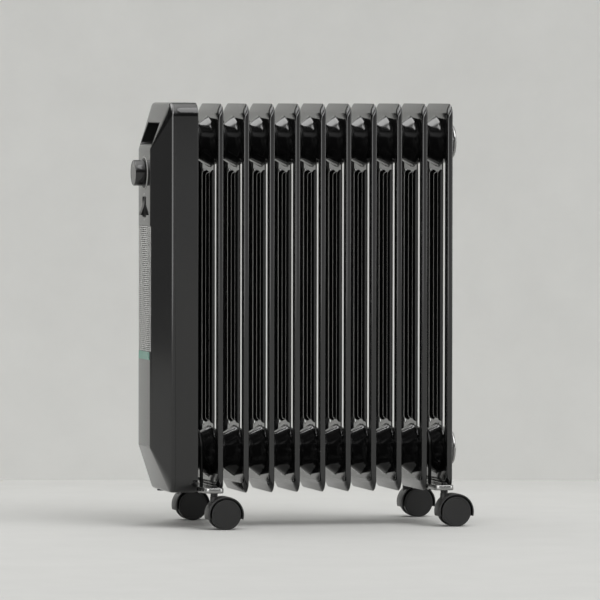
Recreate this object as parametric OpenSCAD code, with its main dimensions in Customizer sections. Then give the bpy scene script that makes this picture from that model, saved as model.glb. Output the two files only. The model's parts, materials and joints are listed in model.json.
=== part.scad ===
// Oil filled radiator heater: a welded block of hollow fins, a control housing on its front end,
// and two brackets with twin-wheel casters.
// X runs along the length with the controls at -X, Y across, Z up. The origin is on the floor,
// at the middle of the outer size.

/* [Fins] */
// Distance from one fin to the next
fin_pitch = 39.5; // [38:0.5:44]
// Depth of a fin, across the heater
fin_depth = 150; // [140:1:170]
// Height of a fin
fin_height = 580; // [480:5:620]
// Floor to the lowest edge of the fins
floor_gap = 55; // [55:1:60]
// Width of the rolled rim along the length
rim_width = 8.6; // [6:0.1:9]
// Thickness of the sheet steel
sheet = 0.7; // [0.6:0.1:0.9]
// Height of the sloping hood at the top and bottom of the rim
hood_rise = 12.4; // [8:0.2:14]
// Corner radius of a fin
fin_corner = 20; // [16:1:24]

/* [Headers] */
// Radius of a header boss where it leaves the fin
boss_base_r = 36; // [34:1:38]
// Radius of a header boss where it meets the next fin
boss_neck_r = 26; // [25:1:28]
// Header centre to the nearest edge of the fin
header_inset = 57; // [54:1:60]
// How far an oil channel stands out on the front of a fin
channel_front = 6.3; // [5:0.1:8]
// How far an oil channel stands out on the back of a fin
channel_back = 2.2; // [1.8:0.1:2.6]
// Distance between the oil channels
channel_gap = 23; // [21:0.5:23]
// Width of a see-through slot
slot_width = 18; // [12:1:18]

/* [Housing] */
// Depth of the rear housing along the length
shell_depth = 39.5; // [36:0.5:44]
// Depth of the front cover along the length
cover_depth = 26.5; // [22:0.5:32]
// Thickness of the plastic walls
wall = 2; // [1.8:0.1:2.4]
// Corner radius of the housing
shell_corner = 21; // [18:1:24]
// Width of the flat front face
face_width = 80; // [76:1:86]
// Height of the slopes above and below the front face
slope_height = 70; // [66:1:74]

/* [Controls] */
// Diameter of the knob
knob_d = 39; // [34:1:42]
// How far the knob stands out
knob_reach = 17; // [14:1:20]
// Top of the housing to the knob's centre
knob_drop = 106; // [102:1:110]
// Top of the housing to the switch's centre
switch_drop = 157; // [154:1:160]
// Swing of the rocker from one side to the other, in degrees
rocker_swing = 24; // [18:1:26]

/* [Casters] */
// Diameter of a wheel
wheel_d = 45; // [44:1:46]
// Width of one wheel
wheel_width = 8.8; // [8:0.2:9.4]
// Distance from the swivel axis back to the axle
caster_trail = 15.5; // [15:0.5:18]
// Distance between the left and right swivel axes
caster_track = 225; // [215:1:235]

/* [Hidden] */
$fn = 64;
fin_count = 11;
slot_segments = 12;
fin_names = [for (i = [1 : fin_count]) str("fin_", i < 10 ? "0" : "", i)];

// Running and assembly clearances
run_gap = 0.05;
fit_gap = 0.3;

// Radiator block
fin_bottom = floor_gap;
fin_top = fin_bottom + fin_height;
header_high = fin_top - header_inset;
header_low = fin_bottom + header_inset;
half_pitch = fin_pitch / 2;
half_rim = rim_width / 2;
port_r = 22;
web_half = sheet;
drum_half = 4.5;
channel_half_width = 7.4;
slot_centre_y = 39;
slot_top = header_high - 27;
slot_bottom = header_low + 22;

// Casters, from the floor up
wheel_r = wheel_d / 2;
hood_inner_r = wheel_r + 2.6;
hood_outer_r = hood_inner_r + 2;
hood_web = 12;
wheel_side_gap = 0.7;
caster_half = hood_web / 2 + wheel_side_gap + wheel_width;
stem_shift = 1;
stem_r = 4;
stem_foot = wheel_r + 4;
boss_top = wheel_r + hood_outer_r + 0.4;
axle_r = 2.5;
hub_depth = wheel_width - 1.6;
bracket_floor = floor_gap - 0.6;
bracket_width = fin_pitch - rim_width - 3 * fit_gap;
bracket_half = caster_track / 2 + 9.5;
bracket_sheet = 2;
bracket_rim = 7.5;
u_bolt_r = boss_neck_r + 5;
u_rod_r = 2.5;

// Places along the length: the outer size runs from the knob to the rear wheels
front_reach = shell_depth - half_rim + cover_depth + knob_reach;
rear_reach = stem_shift - half_pitch + caster_trail + hood_outer_r;
block_length = fin_pitch * (fin_count - 1);
first_fin_x = (front_reach - rear_reach - block_length) / 2;
last_fin_x = first_fin_x + block_length;
shell_rear_x = first_fin_x + half_rim;
shell_front_x = shell_rear_x - shell_depth;
face_x = shell_front_x - cover_depth;
front_gap_x = first_fin_x + half_pitch;
rear_gap_x = last_fin_x - half_pitch;

// Housing outline: the skirt passes round the first fin
skirt_gap = 0.5;
shell_half = fin_depth / 2 + skirt_gap + wall;
shell_top = fin_top + skirt_gap + wall;
shell_bottom = fin_bottom - skirt_gap - wall;
shell_height = shell_top - shell_bottom;
shell_mid = (shell_top + shell_bottom) / 2;
face_top = shell_top - slope_height;
face_bottom = shell_bottom + slope_height - 3;
face_half = face_width / 2;
knob_z = shell_top - knob_drop;
switch_z = shell_top - switch_drop;

// Handle pocket in the upper slope
pocket_top = shell_top - 31;
pocket_bottom = shell_top - 62.5;
pocket_half = 40;
pocket_rear = first_fin_x - half_pitch - 4;

// Grille and badge in the front face
grille_top = shell_top - 185.5;
grille_bottom = shell_top - 374;
grille_half = face_half - 1.5;
grille_pitch = 3;
badge_height = 12;

// Chassis plate across the header bosses
chassis_gap = 15;
chassis_x = first_fin_x - chassis_gap;
chassis_sheet = 1.2;

// Switch and knob
switch_half_w = 8;
switch_half_h = 16;
knob_r = knob_d / 2;
shaft_r = 3;
pin_r = 1.5;

// Paint and plastics
fin_paint = [0.06, 0.06, 0.065];
satin_black = [0.09, 0.09, 0.095];
deep_black = [0.03, 0.03, 0.03];
bright_steel = [0.75, 0.75, 0.76];

caster_names = ["front_left", "front_right", "rear_left", "rear_right"];
caster_places = [
    for (x = [front_gap_x + stem_shift, rear_gap_x + stem_shift], side = [-1, 1])
        [x, side * caster_track / 2]
];

// ---------------------------------------------------------------- helpers

// A box from its lowest to its highest corner
module span(low, high) {
    translate(low) cube(high - low);
}

// A cylinder along X from x0 to x1
module rod_x(r1, r2, x0, x1, y, z) {
    translate([x0, y, z]) rotate([0, 90, 0]) cylinder(h = x1 - x0, r1 = r1, r2 = r2);
}

// A cylinder along Y from y0 to y1
module rod_y(r, y0, y1, x, z) {
    translate([x, y1, z]) rotate([90, 0, 0]) cylinder(h = y1 - y0, r = r);
}

// A flat rounded plate across the length, from x0 to x1
module rounded_plate(half_y, z0, z1, corner, x0, x1) {
    translate([x0, 0, 0]) rotate([90, 0, 90]) linear_extrude(x1 - x0) union() {
        translate([-half_y, z0 + corner]) square([2 * half_y, z1 - z0 - 2 * corner]);
        translate([corner - half_y, z0]) square([2 * (half_y - corner), z1 - z0]);
        for (y = [corner - half_y, half_y - corner], z = [z0 + corner, z1 - corner])
            translate([y, z]) circle(corner);
    }
}

// The section of one oil channel, lying across X: two arcs that meet at half_wide each way
module lens(front, back, half_wide) {
    front_r = (half_wide * half_wide + front * front) / (2 * front);
    back_r = (half_wide * half_wide + back * back) / (2 * back);
    intersection() {
        translate([front_r - front, 0]) circle(front_r);
        translate([back - back_r, 0]) circle(back_r);
    }
}

// A hexagon nut standing on z
module nut(x, y, z, across, height) {
    translate([x, y, z]) cylinder(h = height, d = across * 2 / sqrt(3), $fn = 6);
}

// ---------------------------------------------------------------- fins

// Side view of a fin's rim: the top and bottom slope like small roofs. inset is its thickness.
module rim_profile(inset, over) {
    rise = hood_rise / rim_width * over;
    translate([0, fin_depth, 0]) rotate([90, 0, 0]) linear_extrude(2 * fin_depth) polygon([
        [-half_rim - over, fin_bottom + hood_rise + rise + inset],
        [half_rim + over, fin_bottom - rise + inset],
        [half_rim + over, fin_top + rise - inset],
        [-half_rim - over, fin_top - hood_rise - rise - inset]
    ]);
}

module fin_rim() {
    side_wall = 2 * sheet;
    hood_wall = 3.2;
    difference() {
        intersection() {
            rounded_plate(fin_depth / 2, fin_bottom, fin_top, fin_corner, -half_rim, half_rim);
            rim_profile(0, 0);
        }
        intersection() {
            rounded_plate(fin_depth / 2 - side_wall, fin_bottom + side_wall, fin_top - side_wall,
                          fin_corner - side_wall, -half_rim - 1, half_rim + 1);
            rim_profile(hood_wall, 1);
        }
    }
}

module fin_web() {
    edge = sheet;
    low = fin_bottom + hood_rise / 2 + 2;
    high = fin_top - hood_rise / 2 - 2;
    rounded_plate(fin_depth / 2 - edge, low, high, fin_corner - 6, -web_half, web_half);
}

// A header boss: a drum at the fin, tapering both ways to the neck. cut is the wall taken off.
module header_boss(z, cut) {
    base_r = boss_base_r - cut;
    neck_r = boss_neck_r - cut;
    over = cut > 0 ? 0.01 : 0;
    rod_x(base_r, base_r, -drum_half - over, drum_half + over, 0, z);
    rod_x(neck_r, base_r, -half_pitch, -drum_half, 0, z);
    rod_x(base_r, neck_r, drum_half, half_pitch, 0, z);
}

module oil_channels(cut) {
    for (row = [-1 : 1])
        translate([0, row * channel_gap, header_low])
            linear_extrude(header_high - header_low)
                lens(channel_front - cut, channel_back - cut, channel_half_width - cut);
}

module air_slots() {
    end_r = slot_width / 2;
    for (side = [-1, 1]) {
        y = side * slot_centre_y;
        span([-web_half - 1, y - end_r, slot_bottom + end_r], [web_half + 1, y + end_r, slot_top - end_r]);
        for (z = [slot_bottom + end_r, slot_top - end_r])
            rod_x(end_r, end_r, -web_half - 1, web_half + 1, y, z);
    }
}

// One hollow fin. index 0 is the one inside the housing's skirt.
module fin(index) {
    boss_wall = 1.2;
    color(fin_paint) translate([first_fin_x + index * fin_pitch, 0, 0]) difference() {
        union() {
            fin_rim();
            difference() {
                fin_web();
                air_slots();
            }
            oil_channels(0);
            header_boss(header_low, 0);
            header_boss(header_high, 0);
        }
        oil_channels(sheet);
        header_boss(header_low, boss_wall);
        header_boss(header_high, boss_wall);
    }
}

// ---------------------------------------------------------------- header ends and element

cap_thick = 3.8;

module end_cap(z) {
    color(bright_steel) translate([last_fin_x + half_pitch, 0, z]) rotate([0, 90, 0])
        rotate_extrude() polygon([
            [0, 0], [boss_neck_r, 0], [boss_neck_r, cap_thick - 1.6], [boss_neck_r - 0.5, cap_thick - 0.7],
            [boss_neck_r - 1.6, cap_thick - 0.2], [boss_neck_r - 3, cap_thick], [0, cap_thick]
        ]);
}

module end_cap_top() end_cap(header_high);

module end_cap_bottom() end_cap(header_low);

module filler_plug() {
    front_x = first_fin_x - half_pitch;
    color(bright_steel) {
        rod_x(boss_neck_r, boss_neck_r, front_x - 2, front_x, 0, header_high);
        rod_x(6, 6, front_x - 3.4, front_x - 2, 0, header_high);
    }
}

element_x = first_fin_x - half_pitch;
element_leg_r = 4;
element_gap = 9;

module element_gasket() {
    color("saddlebrown") translate([element_x - 1.5, 0, header_low]) rotate([0, 90, 0]) difference() {
        cylinder(h = 1.5, r = boss_neck_r);
        translate([0, 0, -1]) cylinder(h = 4, r = boss_neck_r - 5);
    }
}

module element_flange() {
    flange_x = element_x - 1.5;
    color(bright_steel) difference() {
        union() {
            rod_x(boss_neck_r, boss_neck_r, flange_x - 4, flange_x, 0, header_low);
            translate([flange_x - 8, 0, header_low]) rotate([0, 90, 0])
                cylinder(h = 4, r = 22, $fn = 6);
        }
        for (y = [-element_gap, element_gap], z = [-element_gap, element_gap])
            rod_x(element_leg_r, element_leg_r, flange_x - 9, flange_x + 1, y, header_low + z);
    }
}

// Two hairpins, one above the other, along the lower header
module heating_element() {
    terminal_x = element_x - 16;
    bend_x = first_fin_x + block_length * 0.86;
    color("dimgray") for (z = [header_low - element_gap, header_low + element_gap]) {
        for (y = [-element_gap, element_gap]) {
            rod_x(element_leg_r, element_leg_r, terminal_x, bend_x, y, z);
            rod_x(1.5, 1.5, terminal_x - 7, terminal_x, y, z);
        }
        translate([bend_x, 0, z]) rotate([0, 0, -90])
            rotate_extrude(angle = 180) translate([element_gap, 0]) circle(element_leg_r);
    }
}

// ---------------------------------------------------------------- control housing

// The chassis plate stands off the first fin on four tubes
module chassis_plate() {
    half_y = shell_half - wall - 1;
    cone_share = (half_pitch - chassis_gap + chassis_sheet) / (half_pitch - drum_half);
    hole_r = boss_neck_r + (boss_base_r - boss_neck_r) * cone_share + 1;
    color("silver") difference() {
        union() {
            rounded_plate(half_y, shell_bottom + wall + 1, shell_top - wall - 1, shell_corner - 3,
                          chassis_x, chassis_x + chassis_sheet);
            for (y = [-60, 60], z = [header_low + 40, header_high - 40])
                rod_x(5, 5, chassis_x, first_fin_x - web_half, y, z);
        }
        for (z = [header_low, header_high])
            rod_x(hole_r, hole_r, chassis_x - 1, chassis_x + 3, 0, z);
        screw_shanks(0);
    }
}

screw_y = shell_half - wall - 6;
screw_zs = [shell_bottom + 60, shell_mid, shell_top - 60];
screw_r = 1.75;

module screw_shanks(extra) {
    for (side = [-1, 1], z = screw_zs)
        rod_x(screw_r, screw_r, chassis_x - wall - extra, chassis_x + chassis_sheet + 2, side * screw_y, z);
}

module housing_screws() {
    head_r = 3.6;
    head_x = chassis_x - wall;
    color(bright_steel) {
        screw_shanks(0);
        for (side = [-1, 1], z = screw_zs)
            rod_x(head_r - 0.8, head_r, head_x - 2.4, head_x, side * screw_y, z);
    }
}

gland_x = shell_front_x + 10;
gland_y = 35;
gland_r = 7;
cord_r = 4;
gland_top = shell_bottom + 14;

module rear_housing() {
    flange_width = 12;
    color(satin_black) difference() {
        union() {
            difference() {
                rounded_plate(shell_half, shell_bottom, shell_top, shell_corner, shell_front_x, shell_rear_x);
                rounded_plate(shell_half - wall, shell_bottom + wall, shell_top - wall,
                              shell_corner - wall, shell_front_x - 1, shell_rear_x + 1);
            }
            difference() {
                rounded_plate(shell_half - 1, shell_bottom + 1, shell_top - 1, shell_corner - 1,
                              chassis_x - wall, chassis_x);
                rounded_plate(shell_half - flange_width, shell_bottom + wall, shell_top - wall,
                              shell_corner - 6, chassis_x - wall - 1, chassis_x + 1);
            }
        }
        translate([gland_x, gland_y, shell_bottom - 1]) cylinder(h = wall + 2, r = gland_r);
        screw_shanks(1);
    }
}

module cable_gland() {
    color("dimgray") translate([gland_x, gland_y, 0]) difference() {
        union() {
            translate([0, 0, shell_bottom - 2]) cylinder(h = 2, r = gland_r + 1.5);
            translate([0, 0, shell_bottom - 1]) cylinder(h = gland_top - shell_bottom + 1, r = gland_r);
            nut(0, 0, shell_bottom + wall, 16, 4);
        }
        translate([0, 0, shell_bottom - 3]) cylinder(h = gland_top - shell_bottom + 4, r = cord_r);
    }
}

// The cover's form: a flat front face joined to the rounded outline behind it. cut is the wall.
module cover_form(cut) {
    skin = 0.4;
    back = cut > 0 ? skin : 0;
    side_cut = 0.8 * cut;
    hull() {
        rounded_plate(shell_half - cut, shell_bottom + cut, shell_top - cut, shell_corner - cut,
                      shell_front_x - skin + back, shell_front_x + back, $fn = 32);
        span([face_x + cut, side_cut - face_half, face_bottom + side_cut],
             [face_x + cut + skin, face_half - side_cut, face_top - side_cut]);
    }
}

// X of the upper slope's surface at a height z
function slope_x(z) = face_x + cover_depth * (z - face_top) / (shell_top - face_top);

liner_wall = 1.6;

// The handle pocket's side view, from in front of the slope to the pocket's back
module pocket_space(grow, front, rear) {
    span([front, -pocket_half - grow, pocket_bottom - grow], [rear, pocket_half + grow, pocket_top + grow]);
}

module front_cover() {
    window_half = face_half + 2;
    color(satin_black) difference() {
        cover_form(0);
        cover_form(wall);
        pocket_space(liner_wall, face_x - 1, shell_front_x + 1);
        rod_x(5, 5, face_x - 1, face_x + wall + 1, 0, knob_z);
        span([face_x - 1, -switch_half_w + 0.6, switch_z - switch_half_h + 1],
             [face_x + wall + 1, switch_half_w - 0.6, switch_z + switch_half_h - 1]);
        span([face_x - 1, -window_half, grille_bottom], [face_x + wall + 3, window_half, grille_top]);
    }
}

// The pocket's own shell, trimmed flush with the slope
module handle_liner() {
    color(deep_black) difference() {
        intersection() {
            pocket_space(liner_wall, face_x - 1, pocket_rear);
            translate([0, shell_half, 0]) rotate([90, 0, 0]) linear_extrude(2 * shell_half) polygon([
                [slope_x(pocket_bottom - 6), pocket_bottom - 6], [pocket_rear + 1, pocket_bottom - 6],
                [pocket_rear + 1, pocket_top + 6], [slope_x(pocket_top + 6), pocket_top + 6]
            ]);
        }
        pocket_space(0, face_x - 2, pocket_rear - liner_wall);
    }
}

// Level slats that follow the front face round its edges, held on upright bars
module grille() {
    slat = 1.5;
    slat_deep = 3.4;
    edge_half = face_half + 2;
    edge_back = 2 * cover_depth / (shell_half - face_half);
    slats = floor((grille_top - grille_bottom) / grille_pitch);
    color("dimgray") {
        for (i = [0 : slats - 1])
            translate([0, 0, grille_bottom + (i + 0.5) * grille_pitch - slat / 2])
                linear_extrude(slat) polygon([
                    [face_x, -face_half], [face_x, face_half], [face_x + edge_back, edge_half],
                    [face_x + slat_deep, edge_half], [face_x + slat_deep, -edge_half],
                    [face_x + edge_back, -edge_half]
                ]);
        for (y = [-30, 0, 30])
            span([face_x + slat_deep - 1, y - 1.5, grille_bottom],
                 [face_x + slat_deep + 1.2, y + 1.5, grille_top]);
    }
}

module badge() {
    lean = 3;
    half = face_half - 4;
    translate([face_x - 0.8, 0, grille_bottom - badge_height - 0.6]) color("#70a898")
        rotate([90, 0, 90]) linear_extrude(0.8) polygon([
            [-half, 0], [half, 0], [half - lean, badge_height], [-half, badge_height]
        ]);
}

// ---------------------------------------------------------------- controls

module dial_ring() {
    ring_r = knob_r + 3;
    color(deep_black) translate([face_x - 1, 0, knob_z]) rotate([0, 90, 0]) difference() {
        cylinder(h = 1, r = ring_r);
        translate([0, 0, -1]) cylinder(h = 3, r = 6);
    }
}

thermostat_front = face_x + wall;

module thermostat_body() {
    color("silver") difference() {
        union() {
            span([thermostat_front + 5, -15, knob_z - 15], [thermostat_front + 21, 15, knob_z + 15]);
            rod_x(9, 9, thermostat_front, thermostat_front + 5, 0, knob_z);
        }
        rod_x(shaft_r + run_gap, shaft_r + run_gap, thermostat_front - 1, thermostat_front + 15, 0, knob_z);
    }
}

module knob_shaft() {
    color(bright_steel) rod_x(shaft_r, shaft_r, face_x - 11, thermostat_front + 14, 0, knob_z);
}

module control_knob() {
    back = 1.5;
    color(satin_black) translate([face_x - back, 0, knob_z]) rotate([0, -90, 0]) difference() {
        rotate_extrude() polygon([
            [0, 0], [knob_r, 0], [knob_r, 2], [knob_r - 0.5, knob_reach - back - 2],
            [knob_r - 1.1, knob_reach - back - 0.7], [knob_r - 2.4, knob_reach - back],
            [0, knob_reach - back]
        ]);
        translate([0, 0, -1]) cylinder(h = 10.5, r = shaft_r);
    }
}

rocker_half = 13.5;
rocker_turn = rocker_swing / 2;
rocker_r = rocker_half / cos(rocker_turn) + 0.3;
pivot_x = face_x + 1.2;

module switch_frame() {
    inner_w = 6.3;
    inner_h = rocker_r + 0.8;
    color(deep_black) difference() {
        union() {
            span([face_x - 1.2, -switch_half_w, switch_z - switch_half_h],
                 [face_x, switch_half_w, switch_z + switch_half_h]);
            span([face_x - 0.5, -switch_half_w + 0.7, switch_z - switch_half_h + 1.1],
                 [face_x + 18, switch_half_w - 0.7, switch_z + switch_half_h - 1.1]);
        }
        span([face_x - 2, -inner_w, switch_z - inner_h], [face_x + 12, inner_w, switch_z + inner_h]);
        rod_y(pin_r + run_gap, -switch_half_w, switch_half_w, pivot_x, switch_z);
    }
}

// The rocker's two halves slope up from the middle; its lower half stands out at rest
module rocker() {
    crest = rocker_half * tan(rocker_turn);
    reach = pivot_x - face_x + 1.4;
    color(satin_black) translate([pivot_x, 0, switch_z]) rotate([0, rocker_turn, 0]) {
        rotate([90, 0, 0]) linear_extrude(11.8, center = true) polygon(concat(
            [[-reach, 0], [-reach - crest, rocker_half]],
            [for (a = [8 : 8 : 32]) [-rocker_r * sin(16 - a), rocker_r * cos(16 - a)]],
            [[7, 6], [7, -6]],
            [for (a = [32 : -8 : 8]) [-rocker_r * sin(16 - a), -rocker_r * cos(16 - a)]],
            [[-reach - crest, -rocker_half]]
        ));
        rod_y(pin_r, -switch_half_w + 1, switch_half_w - 1, 0, 0);
    }
}

// ---------------------------------------------------------------- inside the housing

module terminal_block() {
    color("ivory") translate([chassis_x - 14, 18, 190]) difference() {
        cube([14, 36, 16]);
        for (y = [6, 14, 22, 30])
            translate([-1, y, 8]) rotate([0, 90, 0]) cylinder(h = 8, r = 2.5);
    }
}

module thermal_cutout() {
    color("silver") {
        rod_x(8, 8, chassis_x - 8, chassis_x, 46, header_high - 6);
        span([chassis_x - 13, 42, header_high - 9], [chassis_x - 8, 50, header_high - 3]);
    }
}

module tip_over_switch() {
    color("ivory") {
        span([chassis_x - 18, -54, 170], [chassis_x, -34, 200]);
        rod_x(5, 5, chassis_x - 22, chassis_x - 18, -44, 185);
    }
}

// An insulated wire along straight runs, each a little long so that the bends close
module wire(points) {
    wire_r = 1.4;
    for (i = [0 : len(points) - 2]) {
        run = points[i + 1] - points[i];
        length = norm(run);
        translate(points[i]) rotate([0, acos(run[2] / length), atan2(run[1], run[0])])
            translate([0, 0, -wire_r / 2]) cylinder(h = length + wire_r, r = wire_r, $fn = 6);
    }
}

module wiring() {
    lane = chassis_x - 19;
    color("firebrick") {
        wire([[gland_x, gland_y, gland_top + 2], [gland_x, gland_y, 160], [lane, 24, 175], [lane + 5.5, 24, 189]]);
        wire([[lane + 5.5, 32, 208], [lane, 32, 225], [lane - 8, 5, 440], [face_x + 20, 3, switch_z - 12]]);
        wire([[face_x + 20, -3, switch_z + 12], [lane - 8, -6, 503], [thermostat_front + 24, -6, knob_z - 10]]);
        wire([[chassis_x - 14.5, 46, header_high - 10], [lane, 46, 540], [lane, 40, 230], [lane + 5.5, 40, 208]]);
        wire([[chassis_x - 12, -44, 168], [lane + 3, -36, 150], [element_x - 20, -9, header_low + 13]]);
    }
}

// ---------------------------------------------------------------- running gear

module rounded_slab(half_x, half_y, corner, height) {
    linear_extrude(height) union() {
        square([2 * half_x, 2 * (half_y - corner)], center = true);
        square([2 * (half_x - corner), 2 * half_y], center = true);
        for (x = [corner - half_x, half_x - corner], y = [corner - half_y, half_y - corner])
            translate([x, y]) circle(corner);
    }
}

// A pressed tray across the heater, between two fins
module bracket(gap_x) {
    half_x = bracket_width / 2;
    color(bright_steel) translate([gap_x, 0, bracket_floor]) difference() {
        rounded_slab(half_x, bracket_half, 9, bracket_rim);
        translate([0, 0, bracket_sheet])
            rounded_slab(half_x - bracket_sheet, bracket_half - bracket_sheet, 7, bracket_rim);
        for (side = [-1, 1]) {
            translate([stem_shift, side * caster_track / 2, -1]) cylinder(h = 4, r = stem_r);
            translate([0, side * u_bolt_r, -1]) cylinder(h = 4, r = u_rod_r);
        }
    }
}

module front_bracket() bracket(front_gap_x);

module rear_bracket() bracket(rear_gap_x);

module u_bolt(gap_x) {
    foot = bracket_floor - 6;
    color(bright_steel) {
        translate([gap_x, 0, header_low]) rotate([90, 0, 90])
            rotate_extrude(angle = 180) translate([u_bolt_r, 0]) circle(u_rod_r);
        for (side = [-1, 1])
            translate([gap_x, side * u_bolt_r, foot]) cylinder(h = header_low - foot, r = u_rod_r);
    }
}

module front_u_bolt() u_bolt(front_gap_x);

module rear_u_bolt() u_bolt(rear_gap_x);

module u_bolt_nuts() {
    height = 4;
    color(bright_steel) for (x = [front_gap_x, rear_gap_x], side = [-1, 1]) difference() {
        nut(x, side * u_bolt_r, bracket_floor - height, 8, height);
        translate([x, side * u_bolt_r, bracket_floor - height - 1]) cylinder(h = height + 2, r = u_rod_r);
    }
}

// Each stem is fixed in its bracket, and the caster's hood turns on its lower end
module caster_stems() {
    collar_low = boss_top + 0.5;
    color(bright_steel) for (place = caster_places) translate([place[0], place[1], 0]) {
        translate([0, 0, stem_foot + 0.3]) cylinder(h = bracket_floor + 11 - stem_foot, r = stem_r);
        translate([0, 0, collar_low]) cylinder(h = bracket_floor - collar_low, r = stem_r + 1.5);
    }
}

module stem_nuts() {
    height = 5.5;
    base = bracket_floor + bracket_sheet;
    color(bright_steel) for (place = caster_places) difference() {
        nut(place[0], place[1], base, 13, height);
        translate([place[0], place[1], base - 1]) cylinder(h = height + 2, r = stem_r);
    }
}

// The hood's side view, a disc cut off level below the axle; r is its radius
module hood_disc(r, half_y) {
    skirt_drop = 7;
    intersection() {
        rod_y(r, -half_y, half_y, 0, wheel_r);
        span([-r - 1, -half_y - 1, wheel_r - skirt_drop], [r + 1, half_y + 1, wheel_r + r + 1]);
    }
}

// A caster's hood: a middle wall with the stem's socket, and an arched fender over both wheels
module hood(index) {
    place = caster_places[index];
    half_web = hood_web / 2;
    color(satin_black) translate([place[0] + caster_trail, place[1], 0]) difference() {
        union() {
            difference() {
                hood_disc(hood_outer_r, caster_half);
                hood_disc(hood_inner_r, caster_half + 1);
                span([-40, -20, -1], [40, 20, wheel_r - 7]);
            }
            hood_disc(hood_outer_r - 0.5, half_web);
            translate([-caster_trail, 0, wheel_r]) cylinder(h = boss_top - wheel_r, r = half_web);
            rod_y(6, -half_web, half_web, 0, wheel_r);
        }
        translate([-caster_trail, 0, stem_foot]) cylinder(h = 40, r = stem_r + run_gap);
        rod_y(axle_r, -20, 20, 0, wheel_r);
    }
}

module axle(index) {
    place = caster_places[index];
    half = hood_web / 2 + wheel_side_gap + hub_depth - 0.3;
    color(bright_steel) rod_y(axle_r, place[1] - half, place[1] + half, place[0] + caster_trail, wheel_r);
}

// One cup-shaped wheel. It is drawn facing -Y with its outer face at 0, then turned to its side.
module wheel(index, outward) {
    place = caster_places[index];
    rim_r = wheel_r - 2.4;
    hub_r = 5.5;
    color(satin_black)
        translate([place[0] + caster_trail, place[1] + outward * caster_half, wheel_r])
            rotate([90 * outward, 0, 0]) difference() {
                rotate_extrude() polygon([
                    [0, 0], [wheel_r - 1, 0], [wheel_r - 0.3, 0.3], [wheel_r, 1],
                    [wheel_r, wheel_width - 0.5], [wheel_r - 0.5, wheel_width],
                    [rim_r, wheel_width], [rim_r, 2], [hub_r, 2], [hub_r, wheel_width], [0, wheel_width]
                ]);
                translate([0, 0, wheel_width - hub_depth])
                    cylinder(h = hub_depth + 1, r = axle_r + run_gap);
            }
}

// ---------------------------------------------------------------- the model

for (i = [0 : fin_count - 1])
    fin(i);
end_cap_top();
end_cap_bottom();
filler_plug();
heating_element();
element_flange();
element_gasket();
chassis_plate();
rear_housing();
front_cover();
handle_liner();
grille();
badge();
thermostat_body();
dial_ring();
knob_shaft();
control_knob();
switch_frame();
rocker();
terminal_block();
thermal_cutout();
tip_over_switch();
wiring();
cable_gland();
housing_screws();
front_bracket();
rear_bracket();
front_u_bolt();
rear_u_bolt();
u_bolt_nuts();
caster_stems();
stem_nuts();
for (i = [0 : len(caster_names) - 1]) {
    hood(i);
    axle(i);
    side = i % 2 == 0 ? -1 : 1;
    wheel(i, side);
    wheel(i, -side);
}
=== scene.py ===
import json
import math

import bmesh
import bpy
import numpy as np
from bpy.props import FloatProperty, FloatVectorProperty, PointerProperty
from bpy.types import Operator, Panel, PropertyGroup
from mathutils import Matrix, Vector


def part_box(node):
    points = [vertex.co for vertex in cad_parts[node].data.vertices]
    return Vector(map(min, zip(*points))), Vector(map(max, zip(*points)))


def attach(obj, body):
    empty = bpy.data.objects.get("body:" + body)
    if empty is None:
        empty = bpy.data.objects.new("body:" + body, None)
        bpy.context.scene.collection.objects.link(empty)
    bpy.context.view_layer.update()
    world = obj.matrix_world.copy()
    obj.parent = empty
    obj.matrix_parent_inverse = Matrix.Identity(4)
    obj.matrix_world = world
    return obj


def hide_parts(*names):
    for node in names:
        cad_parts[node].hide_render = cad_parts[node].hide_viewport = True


bl_info = {
    "name": "Oil filled radiator heater",
    "version": (1, 0, 0),
    "blender": (4, 5, 0),
    "location": "View3D > Sidebar > Heater",
    "description": "Dresses an oil filled radiator heater on twin-wheel casters",
    "category": "Object",
}

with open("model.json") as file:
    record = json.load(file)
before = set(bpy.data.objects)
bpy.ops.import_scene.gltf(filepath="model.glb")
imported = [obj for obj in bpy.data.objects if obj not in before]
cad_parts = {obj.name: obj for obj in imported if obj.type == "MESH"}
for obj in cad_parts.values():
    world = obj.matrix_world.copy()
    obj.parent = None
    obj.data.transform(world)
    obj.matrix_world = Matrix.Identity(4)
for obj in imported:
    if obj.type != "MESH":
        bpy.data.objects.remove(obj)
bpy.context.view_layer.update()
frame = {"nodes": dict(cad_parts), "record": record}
MM = 0.001
CASTERS = ("front_left", "front_right", "rear_left", "rear_right")
FINS = tuple(name for name in sorted(frame["nodes"]) if name.startswith("fin_"))


# ---------------------------------------------------------------- places taken from the frame

def box_of(node):
    """The node's lowest corner, highest corner and middle, as arrays in metres."""
    low, high = (np.array(corner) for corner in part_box(node))
    return low, high, (low + high) / 2


FIN_LOW, FIN_HIGH, _ = box_of(FINS[0])
SHELL_LOW, SHELL_HIGH, _ = box_of("rear_housing")
KNOB_LOW, KNOB_HIGH, KNOB_MIDDLE = box_of("control_knob")
FACE_X = float(box_of("front_cover")[0][0])
HALF_PITCH = float(FIN_HIGH[0] - FIN_LOW[0]) / 2


# ---------------------------------------------------------------- settings

def length(name, description, millimetres, low=0.0, high=2.0):
    """A length kept as a property in metres; its default is given in millimetres."""
    return FloatProperty(name=name, description=description, default=millimetres * MM, min=low, max=high,
                         unit="LENGTH", precision=4)


def angle(name, description, degrees):
    """An angle, kept as a property."""
    return FloatProperty(name=name, description=description, default=math.radians(degrees), subtype="ANGLE")


def number(name, description, default):
    """A plain number such as a light's strength, kept as a property."""
    return FloatProperty(name=name, description=description, default=default)


def share(name, description, default):
    """A number from 0 to 1, kept as a property."""
    return FloatProperty(name=name, description=description, default=default, min=0.0, max=1.0,
                         subtype="FACTOR")


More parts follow.
